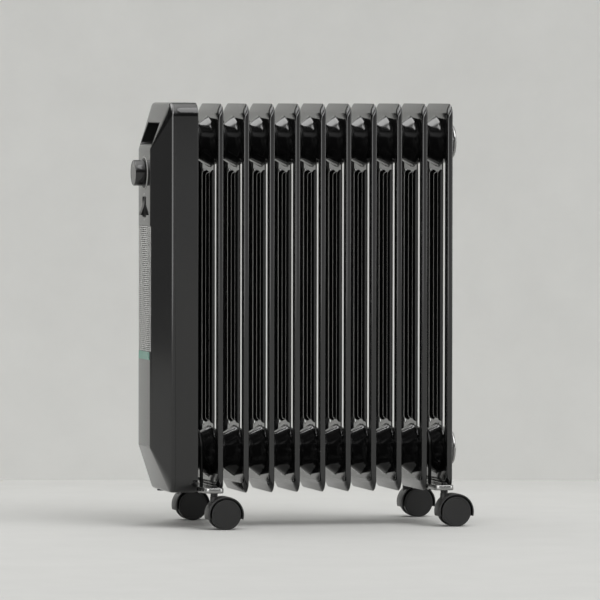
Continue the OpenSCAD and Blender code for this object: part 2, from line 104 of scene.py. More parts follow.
def paint(name, description, default):
    """A colour, kept as a property."""
    return FloatVectorProperty(name=name, description=description, default=default, min=0.0, max=1.0,
                               size=3, subtype="COLOR")


class HeaterFinSettings(PropertyGroup):
    """Sizes of the pressed fins"""
    rim_half: length("Rim half width", "Half the width of the rolled rim", 4.3)
    rim_wall: length("Rim wall", "Thickness of the folded rim", 1.8)
    edge_round: length("Edge rounding", "Radius of the rim's rolled edges", 2.6)
    crest: length("Crest", "Place of the hood's crest, behind the fin's middle", 2.2)
    rear_fall: length("Rear fall", "How far the hood rounds over behind its crest", 1.2)
    hood_rise: length("Hood rise", "Height of the sloping top and bottom", 12.4)
    corner: length("Corner", "Corner radius of a fin", 16)
    reach_up: length("Reach up", "How far the open fins stand above the first one", 1)
    reach_down: length("Reach down", "How far the open fins hang below the first one", 4)
    web_half: length("Web half", "Half the thickness of the flat web", 0.7)
    header_inset: length("Header inset", "Header centre to the fin's nearest end", 57)
    boss_base: length("Boss base", "Radius of a header boss at the fin", 36)
    boss_neck: length("Boss neck", "Radius of a header boss at its neck", 26)
    boss_drum: length("Boss shoulder", "Height of a boss at its base radius", 4.5)
    boss_fall: length("Boss fillet", "Width of the fillet round a boss", 2)
    channel_front: length("Channel front", "Height of an oil channel on the controls' side", 6.3)
    channel_back: length("Channel back", "Height of an oil channel on the far side", 2.2)
    channel_width: length("Channel width", "Half the width of an oil channel", 7.4)
    channel_gap: length("Channel spacing", "Distance between oil channels", 24.3)
    channel_end: length("Channel end", "Header centre to the rounded end of an oil channel", 42)
    set_back: length("Set back", "How far the web beyond the slots lies behind the middle", 2.2)
    slot_width: length("Slot width", "Width of an air slot", 17)
    slot_centre: length("Slot centre", "Distance of an air slot from the middle", 38.7)
    slot_low: length("Slot foot", "Lowest point of the air slots", 134)
    slot_high: length("Slot head", "Highest point of the air slots", 552.5)
    slot_trim: length("Slot trim", "How much shorter the far slot is at either end", 15)


class HeaterHousingSettings(PropertyGroup):
    """Sizes of the control housing"""
    corner: length("Corner", "Corner radius of the housing", 21)
    wall: length("Wall", "Thickness of the plastic", 2)
    face_half: length("Face half width", "Half the width of the flat face", 40)
    face_low: length("Face foot", "Lowest line of the flat face", 119.5)
    face_high: length("Face head", "Highest line of the flat face", 567.5)
    face_corner: length("Face corner", "Corner radius of the flat face", 3)
    face_fillet: length("Face fillet", "Rounding round the flat face", 1.6)
    crease_fillet: length("Crease fillet", "Rounding between the cover and the sides", 4.4)
    pocket_half: length("Pocket half width", "Half the width of the handle pocket", 40)
    pocket_low: length("Pocket foot", "Lowest line of the handle pocket", 575)
    pocket_high: length("Pocket head", "Highest line of the handle pocket", 606.5)
    grille_low: length("Grille foot", "Lowest line of the grille", 263.5)
    grille_high: length("Grille head", "Highest line of the grille", 452)
    grille_pitch: length("Grille pitch", "Distance from slat to slat", 3)
    grille_wrap: length("Grille wrap", "How far the grille reaches round each side of the face", 1.9)


class HeaterCasterSettings(PropertyGroup):
    """Sizes of the casters"""
    wheel_radius: length("Wheel radius", "Radius of a wheel", 22.5)
    wheel_width: length("Wheel width", "Width of a wheel", 8.8)
    hood_radius: length("Fender radius", "Outer radius of the fender", 27.1)
    hood_inner: length("Fender inside", "Inner radius of the fender", 25.1)
    hood_web: length("Middle wall", "Thickness of the fender's middle wall", 12)
    skirt_drop: length("Skirt", "How far the fender goes below the axle", 7)
    trail: length("Trail", "Distance from the stem to the axle", 15.5)


class HeaterFinishSettings(PropertyGroup):
    """Colours of the finishes, and their grain and dust"""
    fin_paint: paint("Fin paint", "Baked paint on the fins", (0.010, 0.010, 0.0103))
    shell: paint("Housing plastic", "Moulded plastic of the housing", (0.005, 0.005, 0.0052))
    deep_black: paint("Deep black", "Pocket, bezel and dial plastic", (0.003, 0.003, 0.003))
    grille: paint("Grille", "Plastic of the grille", (0.48, 0.48, 0.47))
    badge: paint("Badge", "Teal of the plate below the grille", (0.16, 0.40, 0.32))
    print_white: paint("Print", "White of the printed marks", (0.75, 0.75, 0.73))
    caster: paint("Casters", "Plastic of the casters", (0.012, 0.012, 0.012))
    steel: paint("Plated steel", "Plated steel", (0.32, 0.32, 0.315))
    dark_steel: paint("Blackened steel", "Steel of the bolts and stems", (0.035, 0.035, 0.035))
    inner_steel: paint("Plain steel", "Steel inside the housing", (0.42, 0.42, 0.42))
    ivory: paint("Ivory", "Plastic of the inner switch and terminals", (0.62, 0.58, 0.47))
    fibre: paint("Gasket", "Fibre of the gasket", (0.16, 0.09, 0.05))
    wire: paint("Wire", "Insulation of the wires", (0.35, 0.03, 0.02))
    dust_colour: paint("Dust colour", "Colour of the dust", (0.34, 0.33, 0.31))
    grain_depth: share("Grain", "Strength of the fine surface grain", 0.5)
    dust: share("Dust", "Amount of dust on level surfaces", 0.05)


class HeaterStudioSettings(PropertyGroup):
    """The stage, its light and the camera"""
    azimuth: angle("Azimuth", "Camera's bearing", -13.7225)
    elevation: angle("Elevation", "Camera's height as an angle", 1.9452)
    roll: angle("Roll", "Camera's roll", 0.0787)
    distance: length("Distance", "Camera to the point it looks at", 9969, high=50)
    target_x: length("Target along", "The point looked at, along the heater", 9.761, low=-1)
    target_z: length("Target height", "Height of the point looked at", 338.426)
    lens: number("Lens", "Focal length in millimetres", 395.0)
    wall_distance: length("Wall distance", "Heater to the wall behind it", 1068, high=10)
    wall_height: length("Wall height", "Height of the wall", 1000, high=10)
    floor_colour: paint("Floor", "Colour of the floor", (0.585, 0.585, 0.57))
    wall_colour: paint("Wall", "Colour of the wall", (0.86, 0.86, 0.84))
    backdrop: paint("Backdrop", "Pale surroundings", (0.58, 0.58, 0.565))
    sun_strength: number("Key light", "Strength of the key light", 1.25)
    sun_spread: angle("Key spread", "How wide the key light looks from the heater", 45)
    overhead: number("Overhead", "Strength of the soft light overhead", 2.4)
    canopy: number("Canopy", "Strength of the sharp-edged light above", 4.0)
    surround: number("Surround", "Dim light from all round", 0.04)
    fill: number("Fill", "Strength of the even light on matt surfaces", 1.5)
    fill_low: number("Low fill", "The even light's strength near the floor", 0.22)
    horizon: number("Horizon", "Strength of the low light round the room", 0.57)
    horizon_dim: share("Horizon dim", "Share of the low light left on the controls' side", 0.4)
    panels: number("Panels", "Strength of the two upright light panels", 2.7)


class HeaterSettings(PropertyGroup):
    """All the heater's settings, as the panel lists them"""
    fins: PointerProperty(type=HeaterFinSettings)
    housing: PointerProperty(type=HeaterHousingSettings)
    casters: PointerProperty(type=HeaterCasterSettings)
    finish: PointerProperty(type=HeaterFinishSettings)
    studio: PointerProperty(type=HeaterStudioSettings)


def settings():
    """The scene's own copy of every size and colour."""
    return bpy.context.scene.heater


# ---------------------------------------------------------------- mesh building

def mm(*values):
    """Numbers in millimetres, as an array in metres."""
    return np.array(values, float) * MM


def mesh_from(name, *parts):
    """One mesh from several (points, faces) parts, with doubled points merged and skins turned outwards."""
    vertices, faces = [], []
    for points, polygons in parts:
        start = len(vertices)
        vertices.extend(tuple(float(c) for c in p) for p in points)
        faces.extend([tuple(start + i for i in polygon) for polygon in polygons])
    mesh = bpy.data.meshes.new(name)
    mesh.from_pydata(vertices, [], faces)
    work = bmesh.new()
    work.from_mesh(mesh)
    bmesh.ops.remove_doubles(work, verts=work.verts, dist=0.002 * MM)
    bmesh.ops.recalc_face_normals(work, faces=work.faces)
    work.to_mesh(mesh)
    work.free()
    return mesh


def place(name, shape, slot, nodes=(), body="heater", look=None, sharp=30.0):
    """Puts a piece on its body, in place of the CAD nodes that it stands for.

    shape is a mesh or a list of parts. look names the finish where it isn't the slot's own.
    """
    mesh = mesh_from(name, *shape) if isinstance(shape, list) else shape
    mesh.materials.clear()
    mesh.materials.append(finish(look or slot))
    mesh.shade_smooth()
    mesh.set_sharp_from_angle(angle=math.radians(sharp))
    piece = bpy.data.objects.new(name, mesh)
    bpy.context.scene.collection.objects.link(piece)
    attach(piece, body)
    if nodes:
        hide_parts(*nodes)


def grid_faces(rows, columns, close_rows=False, close_columns=False):
    """Quads of a grid of points stored row by row."""
    faces = []
    for r in range(rows if close_rows else rows - 1):
        for c in range(columns if close_columns else columns - 1):
            r2, c2 = (r + 1) % rows, (c + 1) % columns
            faces.append((r * columns + c, r * columns + c2, r2 * columns + c2, r2 * columns + c))
    return faces


def loft(rings, close=False, cap_ends=False):
    """A skin over closed rings of equal counts. close joins the last ring to the first."""
    count = len(rings[0])
    points = np.concatenate(rings)
    faces = grid_faces(len(rings), count, close_rows=close, close_columns=True)
    if cap_ends:
        faces += [tuple(range(count)), tuple(range(len(points) - count, len(points)))]
    return points, faces


def arc(start, end, steps):
    """Angles from start to end in degrees, as radians."""
    return np.radians(np.linspace(start, end, steps + 1))


def quarter(start, end, steps, size):
    """Steps round an edge of a given size: how far in from its end, and how far down from its top."""
    return [(size * (1 - math.cos(a)), size * (1 - math.sin(a))) for a in arc(start, end, steps)]


def rounded_outline(half, low, high, radius, steps=8, middle=0.0):
    """Points (y, z) of an upright rounded rectangle and their outward normals."""
    points, normals = [], []
    for turn, (sy, sz) in enumerate(((1, 1), (-1, 1), (-1, -1), (1, -1))):
        centre_y = middle + sy * (half - radius)
        centre_z = high - radius if sz > 0 else low + radius
        for a in arc(90 * turn, 90 * turn + 90, steps):
            points.append((centre_y + radius * math.cos(a), centre_z + radius * math.sin(a)))
            normals.append((math.cos(a), math.sin(a)))
    return np.array(points), np.array(normals)


def ring_at(x, outline, inset):
    """An outline moved inwards by inset, at one place along the length."""
    points, normals = outline
    moved = points - normals * inset
    return np.column_stack([np.full(len(moved), x), moved])


def rings_of(outline, section):
    """An outline's rings, one for each (place along the length, inset) of a section."""
    return [ring_at(x, outline, inset) for x, inset in section]


def lathe(profile, centre, axis, segments=64):
    """A turned form. profile is (distance along the axis, radius) from one end to the other."""
    a = np.linspace(0, 2 * math.pi, segments, endpoint=False)
    points, faces = loft([np.column_stack([np.full(segments, along), radius * np.cos(a), radius * np.sin(a)])
                          for along, radius in profile])
    order = {"X": [0, 1, 2], "Y": [2, 0, 1], "Z": [1, 2, 0]}[axis]
    return points[:, order] + np.array(centre), faces


def slab(low, high, corner, bevel, steps):
    """A flat plate across the length, with rounded corners and softened edges."""
    outline = rounded_outline((high[1] - low[1]) / 2, low[2], high[2], corner, steps, (high[1] + low[1]) / 2)
    edge = quarter(0, 90, 3, bevel)
    section = [(low[0] + x, inset) for x, inset in edge]
    section += [(high[0] - x, inset) for x, inset in reversed(edge)]
    return loft(rings_of(outline, section), cap_ends=True)


def block(low, high):
    """A sharp box, for cutting."""
    corners = [(x, y, z) for x in (low[0], high[0]) for y in (low[1], high[1]) for z in (low[2], high[2])]
    return np.array(corners), [(0, 1, 3, 2), (4, 6, 7, 5), (0, 4, 5, 1), (2, 3, 7, 6), (0, 2, 6, 4),
                               (1, 5, 7, 3)]


def drill(radius, start, end, centre, axis, segments):
    """A round bar, for cutting a hole."""
    return lathe([(start, 0), (start, radius), (end, radius), (end, 0)], centre, axis, segments)


def cut(mesh, *cutters):
    """The mesh with the cutters' space taken out."""
    body = bpy.data.objects.new("work_body", mesh)
    tool = bpy.data.objects.new("work_tool", mesh_from("work_tool", *cutters))
    for item in (body, tool):
        bpy.context.scene.collection.objects.link(item)
    step = body.modifiers.new("cut", "BOOLEAN")
    step.object, step.operation, step.solver = tool, "DIFFERENCE", "EXACT"
    graph = bpy.context.evaluated_depsgraph_get()
    result = bpy.data.meshes.new_from_object(body.evaluated_get(graph))
    for item in (body, tool):
        old = item.data
        bpy.data.objects.remove(item)
        bpy.data.meshes.remove(old)
    if not result.polygons:
        raise RuntimeError("a cut left nothing of the mesh")
    result.materials.clear()
    return result


# ---------------------------------------------------------------- shader nodes

class Nodes:
    """Adds nodes to one tree, with their inputs given as values or sockets."""

    def __init__(self, tree):
        self.tree = tree

    @classmethod
    def of(cls, owner):
        """The emptied tree of a material or world."""
        owner.use_nodes = True
        owner.node_tree.nodes.clear()
        return cls(owner.node_tree)

    def add(self, kind, inputs=None, **options):
        """A new node. inputs are named or numbered, and options are the node's own settings."""
        node = self.tree.nodes.new(kind)
        for name, value in options.items():
            setattr(node, name, value)
        for name, value in (inputs or {}).items():
            if isinstance(value, bpy.types.NodeSocket):
                self.tree.links.new(value, node.inputs[name])
            else:
                node.inputs[name].default_value = value
        return node

    def maths(self, operation, *values):
        """One sum."""
        return self.add("ShaderNodeMath", dict(enumerate(values)), operation=operation).outputs[0]

    def product(self, first, *others):
        """All the values multiplied."""
        for other in others:
            first = self.maths("MULTIPLY", first, other)
        return first

    def weighed(self, value, weight, rest):
        """value times weight, added to the rest."""
        return self.maths("MULTIPLY_ADD", value, weight, rest)

    def blend(self, factor, first, second):
        """A colour between two."""
        return self.add("ShaderNodeMix", {0: factor, 6: first, 7: second}, data_type="RGBA").outputs[2]

    def fade(self, value, start, end, first=0.0, last=1.0):
        """first where value is start or less, last where it is end or more, and even between."""
        return self.add("ShaderNodeMapRange", {0: value, 1: start, 2: end, 3: first, 4: last}).outputs[0]

    def object_place(self):
        """The point on the surface, in the object's own metres."""
        return self.add("ShaderNodeTexCoord").outputs["Object"]


def new_group(name, inputs, outputs):
    """An empty shader node group with named sockets."""
    group = bpy.data.node_groups.new(name, "ShaderNodeTree")
    for title, kind, value in inputs:
        socket = group.interface.new_socket(title, in_out="INPUT", socket_type=kind)
        socket.default_value = value
    for title in outputs:
        group.interface.new_socket(title, in_out="OUTPUT", socket_type="NodeSocketFloat")
    nodes = Nodes(group)
    return group, nodes, nodes.add("NodeGroupInput").outputs


def surface_grain():
    """Fine grain with broad drifts of tone: Height for bump, Fine and Broad from 0 to 1."""
    if "surface_grain" in bpy.data.node_groups:
        return bpy.data.node_groups["surface_grain"]
    group, nodes, given = new_group(
        "surface_grain",
        [("Cells", "NodeSocketFloat", 900.0), ("Stretch", "NodeSocketVector", (1.0, 1.0, 1.0)),
         ("Patches", "NodeSocketFloat", 14.0)],
        ["Height", "Fine", "Broad"])
    point = nodes.object_place()
    stretched = nodes.add("ShaderNodeVectorMath", {0: point, 1: given["Stretch"]},
                          operation="MULTIPLY").outputs[0]
    fine = nodes.add("ShaderNodeTexNoise", {"Vector": stretched, "Scale": given["Cells"], "Detail": 3.0,
                                            "Roughness": 0.6}).outputs[0]
    cells = nodes.add("ShaderNodeTexVoronoi", {"Vector": stretched, "Scale": given["Cells"]}).outputs[0]
    broad = nodes.add("ShaderNodeTexNoise", {"Vector": point, "Scale": given["Patches"], "Detail": 4.0,
                                             "Roughness": 0.55}).outputs[0]
    nodes.add("NodeGroupOutput", {"Height": nodes.weighed(cells, 0.6, fine), "Fine": fine, "Broad": broad})
    return group


def dust_film():
    """A patchy mask of dust on surfaces that face up."""
    if "dust_film" in bpy.data.node_groups:
        return bpy.data.node_groups["dust_film"]
    group, nodes, given = new_group(
        "dust_film", [("Amount", "NodeSocketFloat", 0.1), ("Patches", "NodeSocketFloat", 60.0)], ["Mask"])
    normal = nodes.add("ShaderNodeNewGeometry").outputs["Normal"]
    level = nodes.fade(nodes.add("ShaderNodeSeparateXYZ", {0: normal}).outputs[2], 0.15, 1.0)
    specks = nodes.add("ShaderNodeTexNoise", {"Vector": nodes.object_place(), "Scale": given["Patches"],
                                              "Detail": 6.0}).outputs[0]
    patchy = nodes.fade(specks, 0.35, 0.75, 0.2, 1.0)
    nodes.add("NodeGroupOutput", {"Mask": nodes.product(level, patchy, given["Amount"])})
    return group


def grained(title, colour, roughness, metallic=0.0, cells=900.0, depth=0.25, stretch=(1, 1, 1),
            patches=14.0, tone=0.12, spread=0.06, coat=0.0):
    """A finish with fine grain, drifting tone and gloss, and a little dust where it faces up."""
    chosen = settings().finish
    material = bpy.data.materials.new(title)
    nodes = Nodes.of(material)
    grain = nodes.add("ShaderNodeGroup", node_tree=surface_grain())
    for socket, value in (("Cells", cells), ("Stretch", stretch), ("Patches", patches)):
        grain.inputs[socket].default_value = value
    dust = nodes.add("ShaderNodeGroup", node_tree=dust_film())
    dust.inputs["Amount"].default_value = chosen.dust
    drift, film = grain.outputs["Broad"], dust.outputs["Mask"]
    dark, light = (tuple(min(c * part, 1.0) for c in colour) + (1.0,) for part in (1 - tone, 1 + tone))
    clean = nodes.blend(drift, dark, light)
    gloss = nodes.fade(drift, 0.3, 0.7, roughness - spread, roughness + spread)
    bump = nodes.add("ShaderNodeBump", {"Height": grain.outputs["Height"], "Distance": 0.05 * MM,
                                        "Strength": depth * chosen.grain_depth})
    shader = nodes.add("ShaderNodeBsdfPrincipled", {
        "Base Color": nodes.blend(film, clean, tuple(chosen.dust_colour) + (1.0,)),
        "Roughness": nodes.weighed(film, 0.6, gloss), "Metallic": metallic, "IOR": 1.5,
        "Normal": bump.outputs[0], "Coat Weight": coat, "Coat Roughness": 0.08})
    nodes.add("ShaderNodeOutputMaterial", {"Surface": shader.outputs[0]})
    return material


# Each finish: its colour's setting, its roughness, and the grain's values where they aren't the usual ones.
FINISHES = {
    "fin_paint": ("fin_paint", 0.10, dict(cells=420, depth=0.3, patches=9, spread=0.03, coat=0.4)),
    "shell_plastic": ("shell", 0.12, dict(cells=1500, depth=0.2, spread=0.03, coat=0.4)),
    "satin_plastic": ("shell", 0.20, dict(cells=1500, depth=0.3, spread=0.04, coat=0.4)),
    "deep_black": ("deep_black", 0.32, dict(cells=1400, depth=0.3)),
    "grille_grey": ("grille", 0.16, dict(cells=1600, depth=0.15, spread=0.03, coat=0.7)),
    "badge_teal": ("badge", 0.30, dict(cells=2200, depth=0.15, tone=0.06)),
    "print_white": ("print_white", 0.45, dict(cells=2600, depth=0.1, tone=0.04)),
    "caster_plastic": ("caster", 0.42, dict(cells=1100, depth=0.6)),
    "bright_steel": ("steel", 0.24, dict(metallic=1.0, cells=700, stretch=(1, 1, 6), tone=0.15, spread=0.08,
                                         patches=40)),
    "dark_steel": ("dark_steel", 0.34, dict(metallic=1.0, cells=700, depth=0.3, tone=0.2)),
    "plain_steel": ("inner_steel", 0.40, dict(metallic=1.0, cells=500, depth=0.3, stretch=(8, 1, 1),
                                              tone=0.15, patches=25)),
    "ivory_plastic": ("ivory", 0.45, dict(cells=1300, depth=0.3, tone=0.05)),
    "gasket_fibre": ("fibre", 0.8, dict(depth=1.0, tone=0.3)),
    "wire_red": ("wire", 0.4, dict(cells=1500, depth=0.3, tone=0.1)),
}


def finish(name):
    """The material of a finish, made once."""
    title = "finish_" + name
    if title in bpy.data.materials:
        return bpy.data.materials[title]
    colour, roughness, values = FINISHES[name]
    return grained(title, getattr(settings().finish, colour), roughness, **values)


# ---------------------------------------------------------------- fins

CHANNEL_TIP = 7 * MM  # over which a channel rounds down at either end
MIDDLE_STOP = 3 * MM  # how much sooner the middle channel ends
CHANNEL_MEET, BOSS_MEET = 1.2 * MM, 1.6 * MM  # width of the soft meeting with the web
WEB_TUCK = 0.8 * MM  # how far the web's border lies inside the rim's outline
HOOD_CLEAR = 1 * MM  # how far the web stays clear of the sloping hood
FLUSH_START, FLUSH_RUN = 18 * MM, 22 * MM  # past the header's middle, where the web comes forward
SLOT_CLEAR, BACK_RUN = 2 * MM, 5 * MM  # past a slot's edge, where the web steps back
BACK_END, BACK_FADE = 26 * MM, 18 * MM  # past a header's middle, where that ends, and over what length
GRID_MARGIN, TIP_ZONE = 2 * MM, 12 * MM  # how far the fine grid goes past the bosses and the channels' ends
FINE_STEP, COARSE_STEP, TIP_STEP, ROW_STEP, LONG_STEP = 1.6 * MM, 4 * MM, 1 * MM, 2 * MM, 30 * MM
BEAD = 0.9 * MM  # radius of the turned edge round a slot


def smooth_max(a, b, width):
    """The larger of two heights, with a rounded change from one to the other."""
    near = np.maximum(width - np.abs(a - b), 0) / width
    return np.maximum(a, b) + near * near * width / 4


def ease(distance, span):
    """0 up to no distance and 1 past the span, with a soft change between."""
    t = np.clip(distance / span, 0, 1)
    return t * t * (3 - 2 * t)


def header_heights(sizes):
    """The heights of the lower and the upper header."""
    return FIN_LOW[2] + sizes.header_inset, FIN_HIGH[2] - sizes.header_inset


def fin_relief(y, z, sizes, channel):
    """How far the pressed sheet stands out from the fin's middle plane, its channels to a given height."""
    low, high = header_heights(sizes)
    height = np.full(y.shape, sizes.web_half)
    arc_radius = (sizes.channel_width ** 2 + channel ** 2) / (2 * channel)
    for row in (-1, 0, 1):
        stop = sizes.channel_end + (0 if row else MIDDLE_STOP)
        inward = np.clip(np.minimum(z - low - stop, high - stop - z) / CHANNEL_TIP, 0, 1)
        ends = np.sqrt(1 - (1 - inward) ** 2)
        d = y - row * sizes.channel_gap
        lens = np.sqrt(np.maximum(arc_radius ** 2 - d ** 2, 0)) - (arc_radius - channel)
        lens = np.where(np.abs(d) < sizes.channel_width, lens, 0)
        height = np.where(inward > 0, smooth_max(height, lens * ends, CHANNEL_MEET), height)
    for header in (low, high):
        r = np.hypot(y, z - header)
        cone = np.interp(r, [0, sizes.boss_neck, sizes.boss_base], [HALF_PITCH, HALF_PITCH, sizes.boss_drum])
        cone = cone - (sizes.boss_drum - sizes.web_half) * ease(r - sizes.boss_base, sizes.boss_fall)
        height = np.where(r < sizes.boss_base + sizes.boss_fall, smooth_max(height, cone, BOSS_MEET), height)
    return np.minimum(height, HALF_PITCH)


def spaced(*runs):
    """Positions along a line: each run is (start, end, rough step)."""
    values = []
    for start, end, step in runs:
        count = max(1, round((end - start) / step))
        values.extend(np.linspace(start, end, count, endpoint=False))
    values.append(runs[-1][1])
    return np.array(values)


def web_forward(y, z, sizes, low, high):
    """How far the web comes forward past the bosses, to lie flush inside the hoods' front edges."""
    from_end = np.minimum(z - low, high - z)
    wanted = (sizes.rim_half - sizes.web_half) * ease(sizes.header_inset - FLUSH_START - from_end,
                                                       FLUSH_RUN)
    past_corner = np.clip(np.abs(y) - (FIN_HIGH[1] - sizes.corner), 0, sizes.corner)
    dip = sizes.corner - np.sqrt(sizes.corner ** 2 - past_corner ** 2)
    room = (from_end - dip - HOOD_CLEAR) * (sizes.crest + sizes.rim_half) / sizes.hood_rise
    return np.clip(np.minimum(wanted, room - sizes.crest - sizes.web_half), 0, None)


def web_back(y, z, sizes, low, high):
    """How far the web's middle plane lies behind the fin's: more beyond the slots, less past the bosses."""
    header_low, header_high = header_heights(sizes)
    beyond = ease(np.abs(y) - sizes.slot_centre - sizes.slot_width / 2 - SLOT_CLEAR, BACK_RUN)
    along = np.clip((np.minimum(z - header_low, header_high - z) + BACK_END) / BACK_FADE, 0, 1)
    return sizes.set_back * beyond * along - web_forward(y, z, sizes, low, high)


def web_grid(sizes, low, high):
    """The web's grid of places (y, z), fine at the bosses and channel ends and narrowing at the corners."""
    half, corner = FIN_HIGH[1] - WEB_TUCK, sizes.corner
    lift = hood_lift(0, sizes)
    header_low, header_high = header_heights(sizes)
    reach = sizes.boss_base + sizes.boss_fall + GRID_MARGIN
    stop = sizes.channel_end + TIP_ZONE
    columns = spaced((-half, -reach, COARSE_STEP), (-reach, reach, FINE_STEP), (reach, half, COARSE_STEP))
    rows = spaced((low + lift + WEB_TUCK, header_low + reach, ROW_STEP),
                  (header_low + reach, header_low + stop, TIP_STEP),
                  (header_low + stop, header_high - stop, LONG_STEP),
                  (header_high - stop, header_high - reach, TIP_STEP),
                  (header_high - reach, high - lift - WEB_TUCK, ROW_STEP))
    depth_in = np.maximum(np.maximum(rows - (high - lift - corner), (low + lift + corner) - rows), 0)
    width = half - corner + np.sqrt(np.maximum(corner ** 2 - depth_in ** 2, 0))
    return columns[None, :] * (width / half)[:, None], np.repeat(rows[:, None], len(columns), axis=1)


def fin_web(sizes, low, high):
    """The pressed web between two heights with its bosses and oil channels, as one closed skin."""
    y, z = web_grid(sizes, low, high)
    back = web_back(y, z, sizes, low, high)
    slope = sizes.hood_rise / (sizes.crest + sizes.rim_half)
    skins = []
    for side, channel in ((-1, sizes.channel_front), (1, sizes.channel_back)):
        shift = np.zeros_like(z)
        shift[-1, :] = side * sizes.web_half * slope
        shift[0, :] = -side * sizes.web_half * slope
        height = fin_relief(y, z, sizes, channel)
        skins.append(np.stack([side * height + back, y, z + shift], axis=-1).reshape(-1, 3))
    rows, columns = y.shape
    count = rows * columns
    faces = grid_faces(rows, columns)
    faces += [tuple(count + i for i in face) for face in faces]
    border = list(range(columns)) + [(r + 1) * columns - 1 for r in range(1, rows)]
    border += [(rows - 1) * columns + c for c in range(columns - 2, -1, -1)]
    border += [r * columns for r in range(rows - 2, 0, -1)]
    for first, second in zip(border, border[1:] + border[:1]):
        faces.append((first, second, second + count, first + count))
    return np.concatenate(skins), faces


def slot_outline(y, sizes):
    """The outline of one air slot; the one on the far side is a little shorter."""
    radius = sizes.slot_width / 2
    trim = sizes.slot_trim if y > 0 else 0
    return rounded_outline(radius, sizes.slot_low + trim, sizes.slot_high - trim, radius * 0.999, 14, y)


def slot_cutter(y, sizes):
    """The cutter of one air slot."""
    return loft(rings_of(slot_outline(y, sizes), ((-6 * MM, 0), (6 * MM, 0))), cap_ends=True)


def slot_lip(y, sizes):
    """The turned edge round one air slot."""
    section = [(1.5 * sizes.web_half * math.cos(a), BEAD * (math.sin(a) - 0.5)) for a in arc(0, 330, 11)]
    return loft(rings_of(slot_outline(y, sizes), section), close=True)


def hood_lift(x, sizes):
    """How far the rim's top lies below its crest at a place across the rim."""
    ahead = max(sizes.crest - x, 0) / (sizes.crest + sizes.rim_half)
    behind = max(x - sizes.crest, 0) / (sizes.rim_half - sizes.crest)
    return sizes.hood_rise * ahead + sizes.rear_fall * behind ** 2


def fin_rim(sizes, low, high):
    """The folded rim from its lowest to its highest line, sloping at both like small roofs."""
    half, wall, lip = sizes.rim_half, sizes.rim_wall, 0.5 * MM
    section = [(-sizes.web_half, wall), (lip - half, wall)]
    section += [(x - half, inset) for x, inset in quarter(-25, 90, 7, sizes.edge_round)]
    section += [(x * half, 0) for x in (-0.35, 0, 0.35)]
    section += [(half - x, inset) for x, inset in quarter(90, -25, 7, sizes.edge_round)]
    section += [(half - lip, wall), (sizes.web_half, wall)]
    rings = []
    for x, inset in section:
        lift = hood_lift(x, sizes)
        outline = rounded_outline(FIN_HIGH[1], low + lift, high - lift, sizes.corner, 9)
        rings.append(ring_at(x, outline, inset))
    return loft(rings, close=True)


class HEATER_OT_fins(Operator):
    """Builds the pressed steel fins in two forms: the short first one, and the open ones behind it"""
    bl_idname = "heater.fins"
    bl_label = "Fins"

    def execute(self, context):
        sizes = settings().fins
        slots = (-sizes.slot_centre, sizes.slot_centre)
        forms = []
        for down, up in ((0, 0), (sizes.reach_down, sizes.reach_up)):
            low, high = FIN_LOW[2] - down, FIN_HIGH[2] + up
            web = mesh_from("fin_web", fin_web(sizes, low, high))
            web = cut(web, *(slot_cutter(y, sizes) for y in slots))
            skin = [v.co[:] for v in web.vertices], [tuple(p.vertices) for p in web.polygons]
            lips = (slot_lip(y, sizes) for y in slots)
            forms.append(mesh_from("fin_sheet", skin, fin_rim(sizes, low, high), *lips))
        for node in FINS:
            shown = forms[node != FINS[0]].copy()
            shown.transform(Matrix.Translation((box_of(node)[2][0], 0, 0)))
            place("pressed_" + node, shown, "fin_paint", [node], sharp=40)
        return {"FINISHED"}


# A header's end cap, as shares of its depth and radius: domed, with a turned recess at its middle.
CAP_PROFILE = ((0, 0), (0, 1), (0.3, 1), (0.55, 0.992), (0.78, 0.968), (0.93, 0.93), (1, 0.88), (1, 0.80),
               (0.86, 0.745), (0.70, 0.70), (0.64, 0.64), (0.64, 0.20), (0.70, 0.12), (0.72, 0))


def plug_profile(depth, radius):
    """The filler plug: a small nipple, a collar and a flange as wide as the header's neck."""
    nipple, collar, shoulder = 6 * MM, 20 * MM, 25.2 * MM
    return [(0, 0), (0, nipple - 0.6 * MM), (0.5 * MM, nipple), (0.42 * depth, nipple),
            (0.42 * depth, collar), (0.5 * depth, shoulder), (0.62 * depth, radius), (depth, radius),
            (depth, 0)]


class HEATER_OT_header_ends(Operator):
    """Builds the end caps behind the last fin and the filler plug in front of the first"""
    bl_idname = "heater.header_ends"
    bl_label = "Header ends"

    def execute(self, context):
        radius = settings().fins.boss_neck
        for node in ("end_cap_top", "end_cap_bottom", "filler_plug"):
            low, high, middle = box_of(node)
            depth = high[0] - low[0]
            profile = [(x * depth, r * radius) for x, r in CAP_PROFILE]
            if node == "filler_plug":
                profile = plug_profile(depth, radius)
            place("turned_" + node, [lathe(profile, (low[0], 0, middle[2]), "X", 72)], "bright_steel", [node])
        return {"FINISHED"}


# ---------------------------------------------------------------- housing

def shell_outline(sizes):
    """The housing's outline, seen from its front."""
    return rounded_outline(SHELL_HIGH[1], SHELL_LOW[2], SHELL_HIGH[2], sizes.corner, 10)


